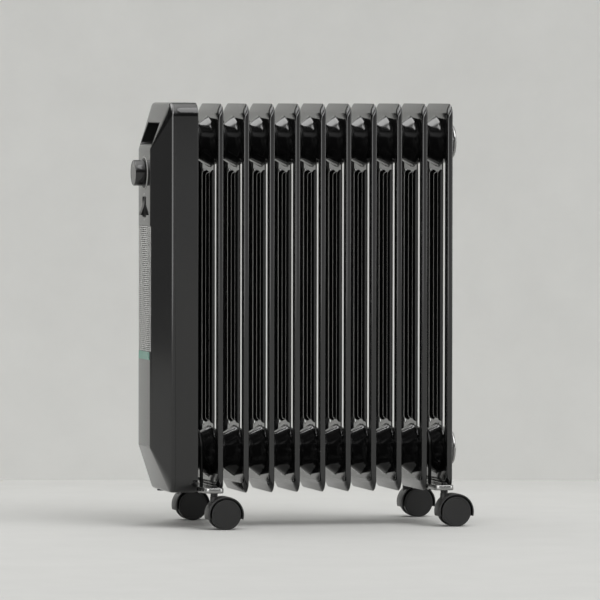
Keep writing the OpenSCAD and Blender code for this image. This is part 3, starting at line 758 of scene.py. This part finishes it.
class HEATER_OT_rear_housing(Operator):
    """Builds the housing's rear shell, open at both ends"""
    bl_idname = "heater.rear_housing"
    bl_label = "Rear housing"

    def execute(self, context):
        sizes = settings().housing
        front = SHELL_LOW[0] + sizes.crease_fillet + 0.15 * MM
        rear, wall, edge, chamfer = SHELL_HIGH[0], sizes.wall, 0.9 * MM, 0.3 * MM
        section = [(front, wall), (front, chamfer), (front + 0.1 * MM, 0.1 * MM), (front + 0.35 * MM, 0)]
        section += [(front + (rear - front) * t, 0) for t in (0.25, 0.5, 0.75)]
        section += [(rear - x, inset) for x, inset in quarter(90, 0, 4, edge)]
        section += [(rear, wall - chamfer), (rear - chamfer, wall)]
        mesh = mesh_from("rear_housing", loft(rings_of(shell_outline(sizes), section), close=True))
        gland = box_of("cable_gland")[2]
        hole = drill(7 * MM, -4 * MM, 6 * MM, (gland[0], gland[1], SHELL_LOW[2]), "Z", 48)
        place("rear_shell", cut(mesh, hole), "shell_plastic", ["rear_housing"])
        return {"FINISHED"}


def soft_corner(before, corner, after, steps):
    """A curve that rounds a corner, from the point before it to the point after."""
    return [(1 - t) ** 2 * before + 2 * t * (1 - t) * corner + t * t * after
            for t in np.linspace(0, 1, steps + 1)]


def cover_rings(sizes):
    """The cover's skin, from the middle of its face round the edge and back along the inside."""
    outer = shell_outline(sizes)
    flat = rounded_outline(sizes.face_half, sizes.face_low, sizes.face_high, sizes.face_corner, 10)
    fillet, bend, wall, back_x = sizes.face_fillet, sizes.crease_fillet, sizes.wall, SHELL_LOW[0]
    edge, crease = ring_at(FACE_X, flat, 0), ring_at(back_x, outer, 0)
    run = crease - edge
    run_unit = run / np.linalg.norm(run, axis=1)[:, None]
    rings = soft_corner(ring_at(FACE_X, flat, fillet), edge, edge + run_unit * fillet, 4)
    rings += [edge + run * t for t in (0.2, 0.4, 0.6, 0.8)]
    rings += soft_corner(crease - run_unit * bend, crease, ring_at(back_x + bend, outer, 0), 6)
    rings += rings_of(outer, [(back_x + bend + 0.1 * MM, 0.25 * MM), (back_x + bend + 0.1 * MM, wall),
                              (back_x + 0.5 * MM, wall)])
    return rings + [ring_at(FACE_X + wall, flat, 0.4 * MM)]


def slope_x(z, sizes):
    """Where the upper slope's surface lies along the length, at a height."""
    return FACE_X + (SHELL_LOW[0] - FACE_X) * (z - sizes.face_high) / (SHELL_HIGH[2] - sizes.face_high)


def opening(half, low, high, behind=5 * MM):
    """The cutter of an upright opening in the cover, to a depth behind its face."""
    return block((FACE_X - 5 * MM, -half, low), (FACE_X + behind, half, high))


class HEATER_OT_front_cover(Operator):
    """Builds the front cover with its slopes, and cuts the openings for the handle and controls"""
    bl_idname = "heater.front_cover"
    bl_label = "Front cover"

    def execute(self, context):
        sizes = settings().housing
        lip = 1.5 * MM
        pocket = opening(sizes.pocket_half + lip, sizes.pocket_low - lip, sizes.pocket_high + lip,
                         SHELL_LOW[0] + 1 * MM - FACE_X)
        grille = opening(sizes.face_half + sizes.grille_wrap, sizes.grille_low, sizes.grille_high)
        low, high, _ = box_of("switch_frame")
        switch = opening(high[1] - 0.8 * MM, low[2] + 1.2 * MM, high[2] - 1.2 * MM)
        shaft = drill(5 * MM, -3 * MM, 4 * MM, (FACE_X, 0, KNOB_MIDDLE[2]), "X", 40)
        mesh = mesh_from("front_cover", loft(cover_rings(sizes), cap_ends=True))
        mesh = cut(mesh, pocket, grille, switch, shaft)
        place("cover_shell", mesh, "shell_plastic", ["front_cover"], sharp=24)
        return {"FINISHED"}


class HEATER_OT_handle_pocket(Operator):
    """Builds the handle pocket's liner, with a rounded lip that follows the slope"""
    bl_idname = "heater.handle_pocket"
    bl_label = "Handle pocket"

    def execute(self, context):
        sizes = settings().housing
        back = box_of("handle_liner")[1][0]
        wall, lip = 1.6 * MM, 0.5 * MM
        outline = rounded_outline(sizes.pocket_half, sizes.pocket_low, sizes.pocket_high, 4 * MM, 6)
        rings = [ring_at(back, outline, -wall)]
        for inset, behind in ((-wall, 3 * MM), (-wall, lip), (0.4 * MM - wall, 0.1 * MM),
                              (-wall / 2, -0.05 * MM), (-0.4 * MM, 0.05 * MM), (-0.05 * MM, lip),
                              (0, 3 * lip)):
            ring = ring_at(0, outline, inset)
            ring[:, 0] = [slope_x(z, sizes) + behind for z in ring[:, 2]]
            rings.append(ring)
        floor = ((6 * MM, 0), (2 * MM, 0.3 * MM), (0.4 * MM, 1.6 * MM), (0, 3.6 * MM))
        rings += rings_of(outline, [(back - wall - x, inset) for x, inset in floor])
        place("pocket_liner", [loft(rings, cap_ends=True)], "deep_black", ["handle_liner"])
        return {"FINISHED"}


def grille_slat(z, sizes):
    """One slat: its rounded nose drawn along the face and round both of its sides."""
    thick, deep = 1.12 * MM, 3 * MM
    half, wrap = sizes.face_half, sizes.grille_wrap
    lean = (SHELL_LOW[0] - FACE_X) / (SHELL_HIGH[1] - half) * wrap
    edge = [(0.6 * MM, 1), (0.2 * MM, 0.9), (0.03 * MM, 0.66)]
    nose = [(deep, -0.7)] + [(x, -rise) for x, rise in edge] + [(0, 0)] + edge[::-1] + [(deep, 0.7)]
    path = [(0.25 * lean, half + 0.25 * wrap), (0, half - 0.6 * MM), (0, half / 2), (0, 0)]
    path = [(along, -y) for along, y in path] + [(along, y) for along, y in path[-2::-1]]
    path = [(lean, -0.98 * (half + wrap))] + path + [(lean, 0.98 * (half + wrap))]
    limit = deep + 0.2 * MM
    return loft([np.array([(FACE_X + min(along + x, limit), y, z + rise * thick) for x, rise in nose])
                 for along, y in path], cap_ends=True)


class HEATER_OT_grille(Operator):
    """Builds the grille's rounded slats and the upright bars behind them"""
    bl_idname = "heater.grille"
    bl_label = "Grille"

    def execute(self, context):
        sizes = settings().housing
        low, high, _ = box_of("grille")
        count = round((sizes.grille_high - sizes.grille_low) / sizes.grille_pitch)
        pitch = (sizes.grille_high - sizes.grille_low) / count
        parts = [grille_slat(sizes.grille_low + (i + 0.5) * pitch, sizes) for i in range(count)]
        bar_front, bar_half = FACE_X + 2.5 * MM, 1.5 * MM
        for y in (-30 * MM, 0, 30 * MM):
            parts.append(slab((bar_front, y - bar_half, low[2]), (high[0], y + bar_half, high[2]),
                              0.6 * MM, 0.3 * MM, 2))
        place("grille_slats", parts, "grille_grey", ["grille"], sharp=50)
        return {"FINISHED"}


class HEATER_OT_badge(Operator):
    """Builds the plain teal plate below the grille, one end of it leaning"""
    bl_idname = "heater.badge"
    bl_label = "Badge"

    def execute(self, context):
        low, high, middle = box_of("badge")
        lean, edge = 3 * MM, 0.25 * MM
        corners = [(low[1], low[2]), (high[1], low[2]), (high[1] - lean, high[2]), (low[1], high[2])]
        rings = []
        for x, inset in ((high[0], 0), (low[0] + edge, 0), (low[0] + 0.3 * edge, 0.3 * edge), (low[0], edge),
                         (low[0], 5 * edge), (low[0] + 0.6 * edge, 5.6 * edge)):
            rings.append(np.array([(x, y - math.copysign(inset, y), z - math.copysign(inset, z - middle[2]))
                                   for y, z in corners]))
        place("badge_plate", [loft(rings, cap_ends=True)], "badge_teal", ["badge"], sharp=20)
        return {"FINISHED"}


# ---------------------------------------------------------------- controls

def print_arc(radius, width, start, end, centre_z, depth=0.08 * MM, steps=48):
    """A raised printed arc on the face, angles clockwise from the top as seen from the front."""
    rings = []
    for a in arc(start, end, steps):
        outward = np.array([0.0, -math.sin(a), math.cos(a)])
        rings.append(np.array([[FACE_X - lift, 0, centre_z] + outward * (radius + side * width / 2)
                               for side, lift in ((-1, 0), (-0.9, depth), (0.9, depth), (1, 0))]))
    return loft(rings, cap_ends=True)


# The knob, as shares of its depth and radius, from the middle of its front to its back.
KNOB_PROFILE = ((0.02, 0), (0.02, 0.86), (0.02, 0.89), (0, 0.91), (0, 0.95), (0.03, 0.985), (0.09, 1),
                (0.50, 1), (0.80, 0.995), (0.97, 0.99), (1, 0.975), (1, 0))
KNOB_TURN = 270  # degrees from one stop to the other


def dial_profile(radius, depth):
    """The dial plate's section, a flat ring with a raised rounded border."""
    bore, seat = 6 * MM, 0.6 * MM
    border = mm((0.15, 1.2), (0, 0.9), (0, 0.4), (0.2, 0.1), (0.5, 0))
    return ([(seat, bore), (seat, radius - 1.6 * MM)] + [(x, radius - inset) for x, inset in border]
            + [(depth, radius), (depth, bore), (seat, bore)])


def dial_scale(radius, centre_z):
    """The printed scale: one long arc with a mark every 45 degrees, the two end marks longer."""
    parts = [print_arc(radius + 1.5 * MM, 0.9 * MM, -10, KNOB_TURN + 5, centre_z, depth=0.9 * MM)]
    for a in range(0, KNOB_TURN + 1, 45):
        size = (1.6 if a in (0, KNOB_TURN) else 1.0) * MM
        parts.append(print_arc(radius + 2.6 * MM + size / 2, size, a - 1.3, a + 1.3, centre_z, steps=2))
    return parts


class HEATER_OT_knob(Operator):
    """Builds the thermostat knob, its dial ring and the printed scale round it"""
    bl_idname = "heater.knob"
    bl_label = "Knob and dial"

    def execute(self, context):
        front, centre_z = KNOB_LOW[0], KNOB_MIDDLE[2]
        radius, depth = (KNOB_HIGH[2] - KNOB_LOW[2]) / 2, KNOB_HIGH[0] - front
        turned = lathe([(x * depth, r * radius) for x, r in KNOB_PROFILE], (front, 0, centre_z), "X", 96)
        place("knob_turned", [turned], "shell_plastic", ["control_knob"], "knob", "satin_plastic", sharp=25)
        pointer = slab((front, -0.7 * MM, centre_z + 0.45 * radius),
                       (front + 0.6 * MM, 0.7 * MM, centre_z + 0.84 * radius), 0.6 * MM, 0.1 * MM, 4)
        place("knob_pointer", [pointer], "shell_plastic", body="knob", look="print_white")
        low, high, _ = box_of("dial_ring")
        radius = (high[2] - low[2]) / 2
        ring = lathe(dial_profile(radius, high[0] - low[0]), (low[0], 0, centre_z), "X", 96)
        place("dial_plate", [ring], "deep_black", ["dial_ring"])
        place("dial_scale", dial_scale(radius, centre_z), "shell_plastic", look="print_white")
        return {"FINISHED"}


def switch_bezel():
    """The switch's rounded frame with its opening."""
    low, high, middle = box_of("switch_frame")
    outer = rounded_outline((high[1] - low[1]) / 2, low[2], high[2], 3 * MM, 5)
    inner = rounded_outline(6.2 * MM, middle[2] - 14.4 * MM, middle[2] + 14.4 * MM, 0.8 * MM, 5)
    front, back, foot = low[0], FACE_X + 9 * MM, 1.6 * MM
    rings = rings_of(outer, [(FACE_X, 0.6 * MM), (FACE_X, 0), (front + 0.4 * MM, 0.1 * MM),
                             (front, 0.5 * MM)])
    rings += rings_of(inner, [(front, -0.3 * MM), (front + 0.3 * MM, 0), (back, 0)])
    return loft(rings + rings_of(outer, [(back, foot), (FACE_X + 3 * MM, foot)]), close=True)


def rocker_cap():
    """The rocker's cap, bent at its middle and standing out at its foot."""
    low, high, middle = box_of("rocker")
    half, nose = (high[1] - low[1]) / 2 - 0.1 * MM, low[0] - FACE_X
    side = mm((1, 13.8), (0.4, 13.6), (-2, 0), (0.3, -11.6), (0.3, -12.2), (0.9, -12.8), (3, -12.6), (5, 0),
              (3, 12.6))
    side[3:6, 0] += nose
    centre = side.mean(axis=0)
    rings = []
    for y, inset in ((-half, 0.04), (0.15 * MM - half, 0.012), (0.5 * MM - half, 0), (half - 0.5 * MM, 0),
                     (half - 0.15 * MM, 0.012), (half, 0.04)):
        drawn = side + (centre - side) * inset
        rings.append(np.column_stack([FACE_X + drawn[:, 0], np.full(len(drawn), y), middle[2] + drawn[:, 1]]))
    return loft(rings, cap_ends=True)


class HEATER_OT_switch(Operator):
    """Builds the rocker switch, its bezel and the two printed marks"""
    bl_idname = "heater.switch"
    bl_label = "Switch"

    def execute(self, context):
        place("switch_bezel", [switch_bezel()], "deep_black", ["switch_frame"])
        place("rocker_cap", [rocker_cap()], "shell_plastic", ["rocker"], "rocker", "deep_black", sharp=20)
        middle_z, reach = box_of("switch_frame")[2][2], 15.2 * MM
        marks = [print_arc(5 * MM, 0.8 * MM, start, start + 100, middle_z + offset, steps=10)
                 for start, offset in ((-50, reach), (130, -reach))]
        place("switch_marks", marks, "shell_plastic", look="print_white")
        return {"FINISHED"}


# ---------------------------------------------------------------- running gear

def bracket_tray(node):
    """A bracket pressed from sheet: a shallow tray with a rolled border, hollow above."""
    low, high, middle = box_of(node)
    sheet, corner, edge = 2 * MM, 9 * MM, 1.2 * MM
    flat = rounded_outline((high[0] - low[0]) / 2, low[1], high[1], corner, 8, middle[0])
    section = [(low[2] + down, inset) for inset, down in quarter(90, 0, 4, edge)]
    section += [(high[2] - down, inset) for inset, down in quarter(0, 180, 6, sheet / 2)]
    section += [(low[2] + sheet + edge, sheet), (low[2] + sheet + 0.3 * edge, sheet + 0.3 * edge),
                (low[2] + sheet, sheet + edge)]
    points, faces = loft(rings_of(flat, section), cap_ends=True)
    return points[:, [1, 2, 0]], faces


class HEATER_OT_brackets(Operator):
    """Builds the pressed trays that carry the casters"""
    bl_idname = "heater.brackets"
    bl_label = "Brackets"

    def execute(self, context):
        for node in ("front_bracket", "rear_bracket"):
            place("pressed_" + node, [bracket_tray(node)], "bright_steel", [node])
        return {"FINISHED"}


def wheel_profile(sizes):
    """A wheel's turned section, from its outer face inwards; hollow behind the face."""
    r, w = sizes.wheel_radius / MM, sizes.wheel_width / MM
    face = [(0.35, 0), (0.30, 0.35 * r), (0.12, 0.70 * r)]
    rim = [(0.05, 3.6), (0.35, 3.3), (0.35, 3), (0, 2.7), (0.02, 1.3), (0.25, 0.5), (0.8, 0.08), (1.4, 0),
           (w - 1.2, 0), (w - 0.5, 0.15), (w - 0.1, 0.6), (w, 1.2), (w, 2.4), (2, 3)]
    hub = [(2, 6), (w - 0.4, 5.5), (w, 5), (w, 2.6), (1.7, 2.6), (1.7, 0)]
    return mm(*face, *((along, r - inset) for along, inset in rim), *hub)


def fender(sizes, centre, half_width):
    """The arched fender, open below, with rounded edges."""
    outer, inner, half = sizes.hood_radius, sizes.hood_inner, half_width
    drop = math.degrees(math.asin(sizes.skirt_drop / outer))
    edge = (outer - inner) * 0.45
    soft = 0.3 * edge
    section = [(-half, inner + edge), (soft - half, outer - soft), (edge - half, outer), (0, outer),
               (half - edge, outer), (half - soft, outer - soft), (half, inner + edge), (half - soft, inner),
               (0, inner), (soft - half, inner)]
    return loft([np.array([centre + (r * math.cos(a), y, r * math.sin(a)) for y, r in section])
                 for a in arc(-drop, 180 + drop, 48)], cap_ends=True)


def middle_wall(sizes, centre):
    """The fender's middle wall between the wheels, a disc cut off level below."""
    edge, deep = 0.6 * MM, 1.6 * MM
    half, radius = sizes.hood_web / 2, sizes.hood_inner + edge
    drop = math.asin(sizes.skirt_drop / radius)
    rings = []
    for y, inset in ((-half, deep), (-half, edge), (edge - half, 0), (half - edge, 0), (half, edge),
                     (half, deep)):
        r, floor = radius - inset, inset * 0.5 - sizes.skirt_drop
        rings.append(np.array([centre + (r * math.cos(a), y, max(r * math.sin(a), floor))
                               for a in np.linspace(-drop, math.pi + drop, 49)]))
    return loft(rings, cap_ends=True)


def stem_socket(sizes, centre, top):
    """The fender's upright socket for the stem, with its rim softened and its bore begun."""
    return lathe([(centre[2], 0), (centre[2], 6 * MM), (top - 0.6 * MM, 6 * MM), (top, 5.4 * MM),
                  (top, 4.2 * MM), (top - 2 * MM, 4.1 * MM), (top - 2 * MM, 0)],
                 (centre[0] - sizes.trail, centre[1], 0), "Z", 40)


class HEATER_OT_casters(Operator):
    """Builds the four twin-wheel casters: fenders, wheels and stem sockets"""
    bl_idname = "heater.casters"
    bl_label = "Casters"

    def execute(self, context):
        sizes = settings().casters
        for name in CASTERS:
            low, high, middle = box_of("hood_" + name)
            axle = box_of(f"wheel_{name}_outer")[2]
            centre = np.array([axle[0], middle[1], axle[2]])
            parts = [fender(sizes, centre, (high[1] - low[1]) / 2), middle_wall(sizes, centre),
                     stem_socket(sizes, centre, high[2])]
            place("fender_" + name, parts, "caster_plastic", ["hood_" + name], "caster_" + name)
            outward = -1 if name.endswith("left") else 1
            for which, side in (("outer", outward), ("inner", -outward)):
                node = f"wheel_{name}_{which}"
                low, high, middle = box_of(node)
                face = high[1] if side > 0 else low[1]
                turned = lathe([(-side * along, radius) for along, radius in wheel_profile(sizes)],
                               (middle[0], face, middle[2]), "Y", 80)
                place("turned_" + node, [turned], "caster_plastic", [node], f"roller_{name}_{which}")
        return {"FINISHED"}


class HEATER_OT_carried_parts(Operator):
    """Finishes the parts that keep the frame's own shape, with softened edges"""
    bl_idname = "heater.carried_parts"
    bl_label = "Carried parts"

    def execute(self, context):
        slots = {row["node"]: row["material_slot"] for row in frame["record"]["subparts"]}
        for name, piece in frame["nodes"].items():
            if piece.hide_render:
                continue
            darkened = name.endswith("u_bolt") or name == "caster_stems"
            piece.data.materials.clear()
            piece.data.materials.append(finish("dark_steel" if darkened else slots[name]))
            soften = piece.modifiers.new("soften", "BEVEL")
            soften.width, soften.segments, soften.limit_method = 0.25 * MM, 2, "ANGLE"
            soften.angle_limit = math.radians(40)
            soften.use_clamp_overlap = True
        return {"FINISHED"}


# ---------------------------------------------------------------- stage, lights and camera

FLOOR_REACH, FLOOR_REACH_FRONT, WALL_HALF = 30.0, 5.0, 8.0  # metres
KEY_FROM = (0.38, -0.52, 0.78)  # the way to the key light
OVERHEAD_POWER = 4.0  # how closely the soft light gathers straight overhead
CANOPY_EDGE = (-0.76, 0.65, -0.557)  # the plane that the canopy's sharp edge lies on
CANOPY_SOFT = 0.02  # half the width of that edge
CANOPY_BEHIND, CANOPY_ALONG, CANOPY_ABOVE = (0.1, 0.25), (-0.6, 0.05), (0.35, 0.55)
HORIZON_HEIGHT, HORIZON_FRONT = (0.05, 0.14), (-0.9, -0.4)
PANEL_TOP, PANEL_FOOT = (0.55, 0.65), (-0.12, -0.06)
PANELS = ((-136.0, 20.0), (-17.5, 18.0))  # each panel's bearing and half its width, in degrees
PANEL_SOFT = 1.5  # degrees over which a panel's sides fade


def stage_material(name, colour, one_sided=False):
    """Matt plaster with faint clouds; one_sided leaves it clear from behind."""
    material = bpy.data.materials.new(name)
    nodes = Nodes.of(material)
    clouds = nodes.add("ShaderNodeTexNoise", {"Vector": nodes.object_place(), "Scale": 9.0, "Detail": 5.0,
                                              "Roughness": 0.6}).outputs[0]
    dark, light = (tuple(c * part for c in colour) + (1.0,) for part in (0.975, 1.02))
    base = nodes.blend(nodes.fade(clouds, 0.3, 0.7), dark, light)
    shader = nodes.add("ShaderNodeBsdfPrincipled", {"Base Color": base, "Roughness": 0.75,
                                                    "Specular IOR Level": 0.2}).outputs[0]
    if one_sided:
        clear = nodes.add("ShaderNodeBsdfTransparent").outputs[0]
        behind = nodes.add("ShaderNodeNewGeometry").outputs["Backfacing"]
        shader = nodes.add("ShaderNodeMixShader", {0: behind, 1: shader, 2: clear}).outputs[0]
    nodes.add("ShaderNodeOutputMaterial", {"Surface": shader})
    return material


def stage_sheet(name, corners, material):
    """A flat four-cornered part of the stage."""
    mesh = bpy.data.meshes.new(name)
    mesh.from_pydata([tuple(p) for p in corners], [], [(0, 1, 2, 3)])
    mesh.materials.append(material)
    sheet = bpy.data.objects.new(name, mesh)
    bpy.context.scene.collection.objects.link(sheet)
    return sheet


def add_floor_and_wall(studio):
    """The floor under the heater, and the wall behind it, square to the camera."""
    back, side, front = FLOOR_REACH, FLOOR_REACH, -FLOOR_REACH_FRONT
    floor = stage_sheet("floor", [(front, -side, 0), (back, -side, 0), (back, side, 0), (front, side, 0)],
                        stage_material("floor_plaster", studio.floor_colour))
    a = studio.azimuth
    right, away = (math.cos(a), math.sin(a), 0), np.array([-math.sin(a), math.cos(a), 0])
    across, up = WALL_HALF * np.array(right), np.array([0, 0, studio.wall_height])
    foot = away * studio.wall_distance
    wall = stage_sheet("wall", [foot - across, foot + across, foot + across + up, foot - across + up],
                       stage_material("wall_plaster", studio.wall_colour, one_sided=True))


def add_key(studio):
    """The soft key light."""
    sun = bpy.data.lights.new("key", "SUN")
    sun.energy, sun.angle = studio.sun_strength, studio.sun_spread
    key = bpy.data.objects.new("key", sun)
    key.rotation_mode = "QUATERNION"
    key.rotation_quaternion = Vector(KEY_FROM).normalized().to_track_quat("Z", "Y")
    bpy.context.scene.collection.objects.link(key)


def towards(nodes, x, y, bearing):
    """How far a direction points along a bearing, given in radians."""
    return nodes.weighed(x, math.cos(bearing), nodes.maths("MULTIPLY", y, math.sin(bearing)))


def overhead(nodes, z):
    """Soft light that gathers straight overhead."""
    return nodes.maths("POWER", nodes.maths("MAXIMUM", z, 0.0), OVERHEAD_POWER)


def canopy(nodes, x, y, z):
    """A light above with one sharp edge, ending towards the back and near the horizon."""
    a, b, c = CANOPY_EDGE
    edge = nodes.weighed(z, c, nodes.maths("ADD", nodes.product(x, a), nodes.product(y, b)))
    within = nodes.maths("MAXIMUM", nodes.fade(edge, -CANOPY_SOFT, CANOPY_SOFT, 1.0, 0.0),
                         nodes.fade(y, *CANOPY_BEHIND))
    return nodes.product(within, nodes.fade(x, *CANOPY_ALONG, 1.0, 0.0), nodes.fade(z, *CANOPY_ABOVE))


def upright_panel(nodes, x, y, z, bearing, half_width):
    """A tall panel of light that stands at a bearing."""
    level_length = nodes.maths("SQRT", nodes.maths("SUBTRACT", 1.0001, nodes.product(z, z)))
    facing = nodes.maths("DIVIDE", towards(nodes, x, y, math.radians(bearing)), level_length)
    sides = nodes.fade(facing, *(math.cos(math.radians(half_width + soft)) for soft in (PANEL_SOFT, 0)))
    return nodes.product(sides, nodes.fade(z, *PANEL_TOP, 1.0, 0.0), nodes.fade(z, *PANEL_FOOT))


def mirrored_light(nodes, studio, direction):
    """What a glossy surface mirrors: overhead light, a canopy, a low horizon and two upright panels."""
    x, y, z = direction
    level = nodes.weighed(overhead(nodes, z), studio.overhead, studio.surround)
    level = nodes.weighed(canopy(nodes, x, y, z), studio.canopy, level)
    low = nodes.product(nodes.fade(nodes.maths("ABSOLUTE", z), *HORIZON_HEIGHT, 1.0, 0.0),
                        nodes.fade(x, *HORIZON_FRONT, studio.horizon_dim, 1.0))
    level = nodes.weighed(low, studio.horizon, level)
    for bearing, half_width in PANELS:
        level = nodes.weighed(upright_panel(nodes, x, y, z, bearing, half_width), studio.panels, level)
    return level


def add_surroundings(studio):
    """The light from all round: its own level for glossy and for matt surfaces, and pale to the camera."""
    world = bpy.data.worlds.new("surroundings")
    bpy.context.scene.world = world
    nodes = Nodes.of(world)
    path = nodes.add("ShaderNodeLightPath").outputs
    generated = nodes.add("ShaderNodeTexCoord").outputs["Generated"]
    direction = nodes.add("ShaderNodeSeparateXYZ", {0: generated}).outputs
    even = nodes.weighed(overhead(nodes, direction[2]), studio.fill, studio.fill_low)
    mirrored = nodes.product(mirrored_light(nodes, studio, direction), path["Is Glossy Ray"])
    matt = nodes.maths("SUBTRACT", 1.0, path["Is Glossy Ray"])
    lit, seen = (nodes.add("ShaderNodeBackground", {"Color": colour, "Strength": strength}).outputs[0]
                 for colour, strength in (((1.0, 1.0, 0.99, 1.0), nodes.weighed(even, matt, mirrored)),
                                          (tuple(studio.backdrop) + (1.0,), 1.0)))
    mixed = nodes.add("ShaderNodeMixShader", {0: path["Is Camera Ray"], 1: lit, 2: seen})
    nodes.add("ShaderNodeOutputWorld", {"Surface": mixed.outputs[0]})


def camera_axes(studio):
    """The camera's right, up and backward directions."""
    a, e = studio.azimuth, studio.elevation
    back = Vector((math.sin(a) * math.cos(e), -math.cos(a) * math.cos(e), math.sin(e)))
    right = Vector((math.cos(a), math.sin(a), 0))
    up = back.cross(right)
    c, s = math.cos(studio.roll), math.sin(studio.roll)
    return c * right + s * up, -s * right + c * up, back


def add_camera(studio):
    """The camera, turned about its own line of sight by the roll."""
    right, up, back = camera_axes(studio)
    lens = bpy.data.cameras.new("camera")
    lens.lens, lens.sensor_width = studio.lens, 36.0
    lens.clip_start, lens.clip_end = 0.1, 100.0
    camera = bpy.data.objects.new("camera", lens)
    turn = Matrix((right, up, back)).transposed().to_4x4()
    target = Vector((studio.target_x, 0, studio.target_z))
    camera.matrix_world = Matrix.Translation(target + back * studio.distance) @ turn
    bpy.context.scene.collection.objects.link(camera)
    bpy.context.scene.camera = camera


class HEATER_OT_stage(Operator):
    """Sets up the floor, the wall, the light and the camera"""
    bl_idname = "heater.stage"
    bl_label = "Stage"

    def execute(self, context):
        studio = settings().studio
        for add in (add_floor_and_wall, add_key, add_surroundings, add_camera):
            add(studio)
        context.scene.view_settings.view_transform = "Standard"
        return {"FINISHED"}


# ---------------------------------------------------------------- panel and running

OPERATORS = (HEATER_OT_fins, HEATER_OT_header_ends, HEATER_OT_rear_housing, HEATER_OT_front_cover,
             HEATER_OT_handle_pocket, HEATER_OT_grille, HEATER_OT_badge, HEATER_OT_knob, HEATER_OT_switch,
             HEATER_OT_brackets, HEATER_OT_casters, HEATER_OT_carried_parts, HEATER_OT_stage)


class HEATER_PT_sidebar(Panel):
    """Lists the heater's pieces and sizes"""
    bl_idname = "HEATER_PT_sidebar"
    bl_label = "Heater"
    bl_space_type = "VIEW_3D"
    bl_region_type = "UI"
    bl_category = "Heater"

    def draw(self, context):
        layout = self.layout
        for operator in OPERATORS:
            layout.operator(operator.bl_idname)
        chosen = context.scene.heater
        for title in HeaterSettings.__annotations__:
            group = getattr(chosen, title)
            part = layout.box()
            part.label(text=title.capitalize())
            for name in group.__annotations__:
                part.prop(group, name)


CLASSES = (HeaterFinSettings, HeaterHousingSettings, HeaterCasterSettings, HeaterFinishSettings,
           HeaterStudioSettings, HeaterSettings) + OPERATORS + (HEATER_PT_sidebar,)


def register():
    for item in CLASSES:
        bpy.utils.register_class(item)
    bpy.types.Scene.heater = PointerProperty(type=HeaterSettings)


def unregister():
    del bpy.types.Scene.heater
    for item in reversed(CLASSES):
        bpy.utils.unregister_class(item)


def main():
    register()
    for operator in OPERATORS:
        group, name = operator.bl_idname.split(".")
        getattr(getattr(bpy.ops, group), name)()


if __name__ == "__main__":
    main()
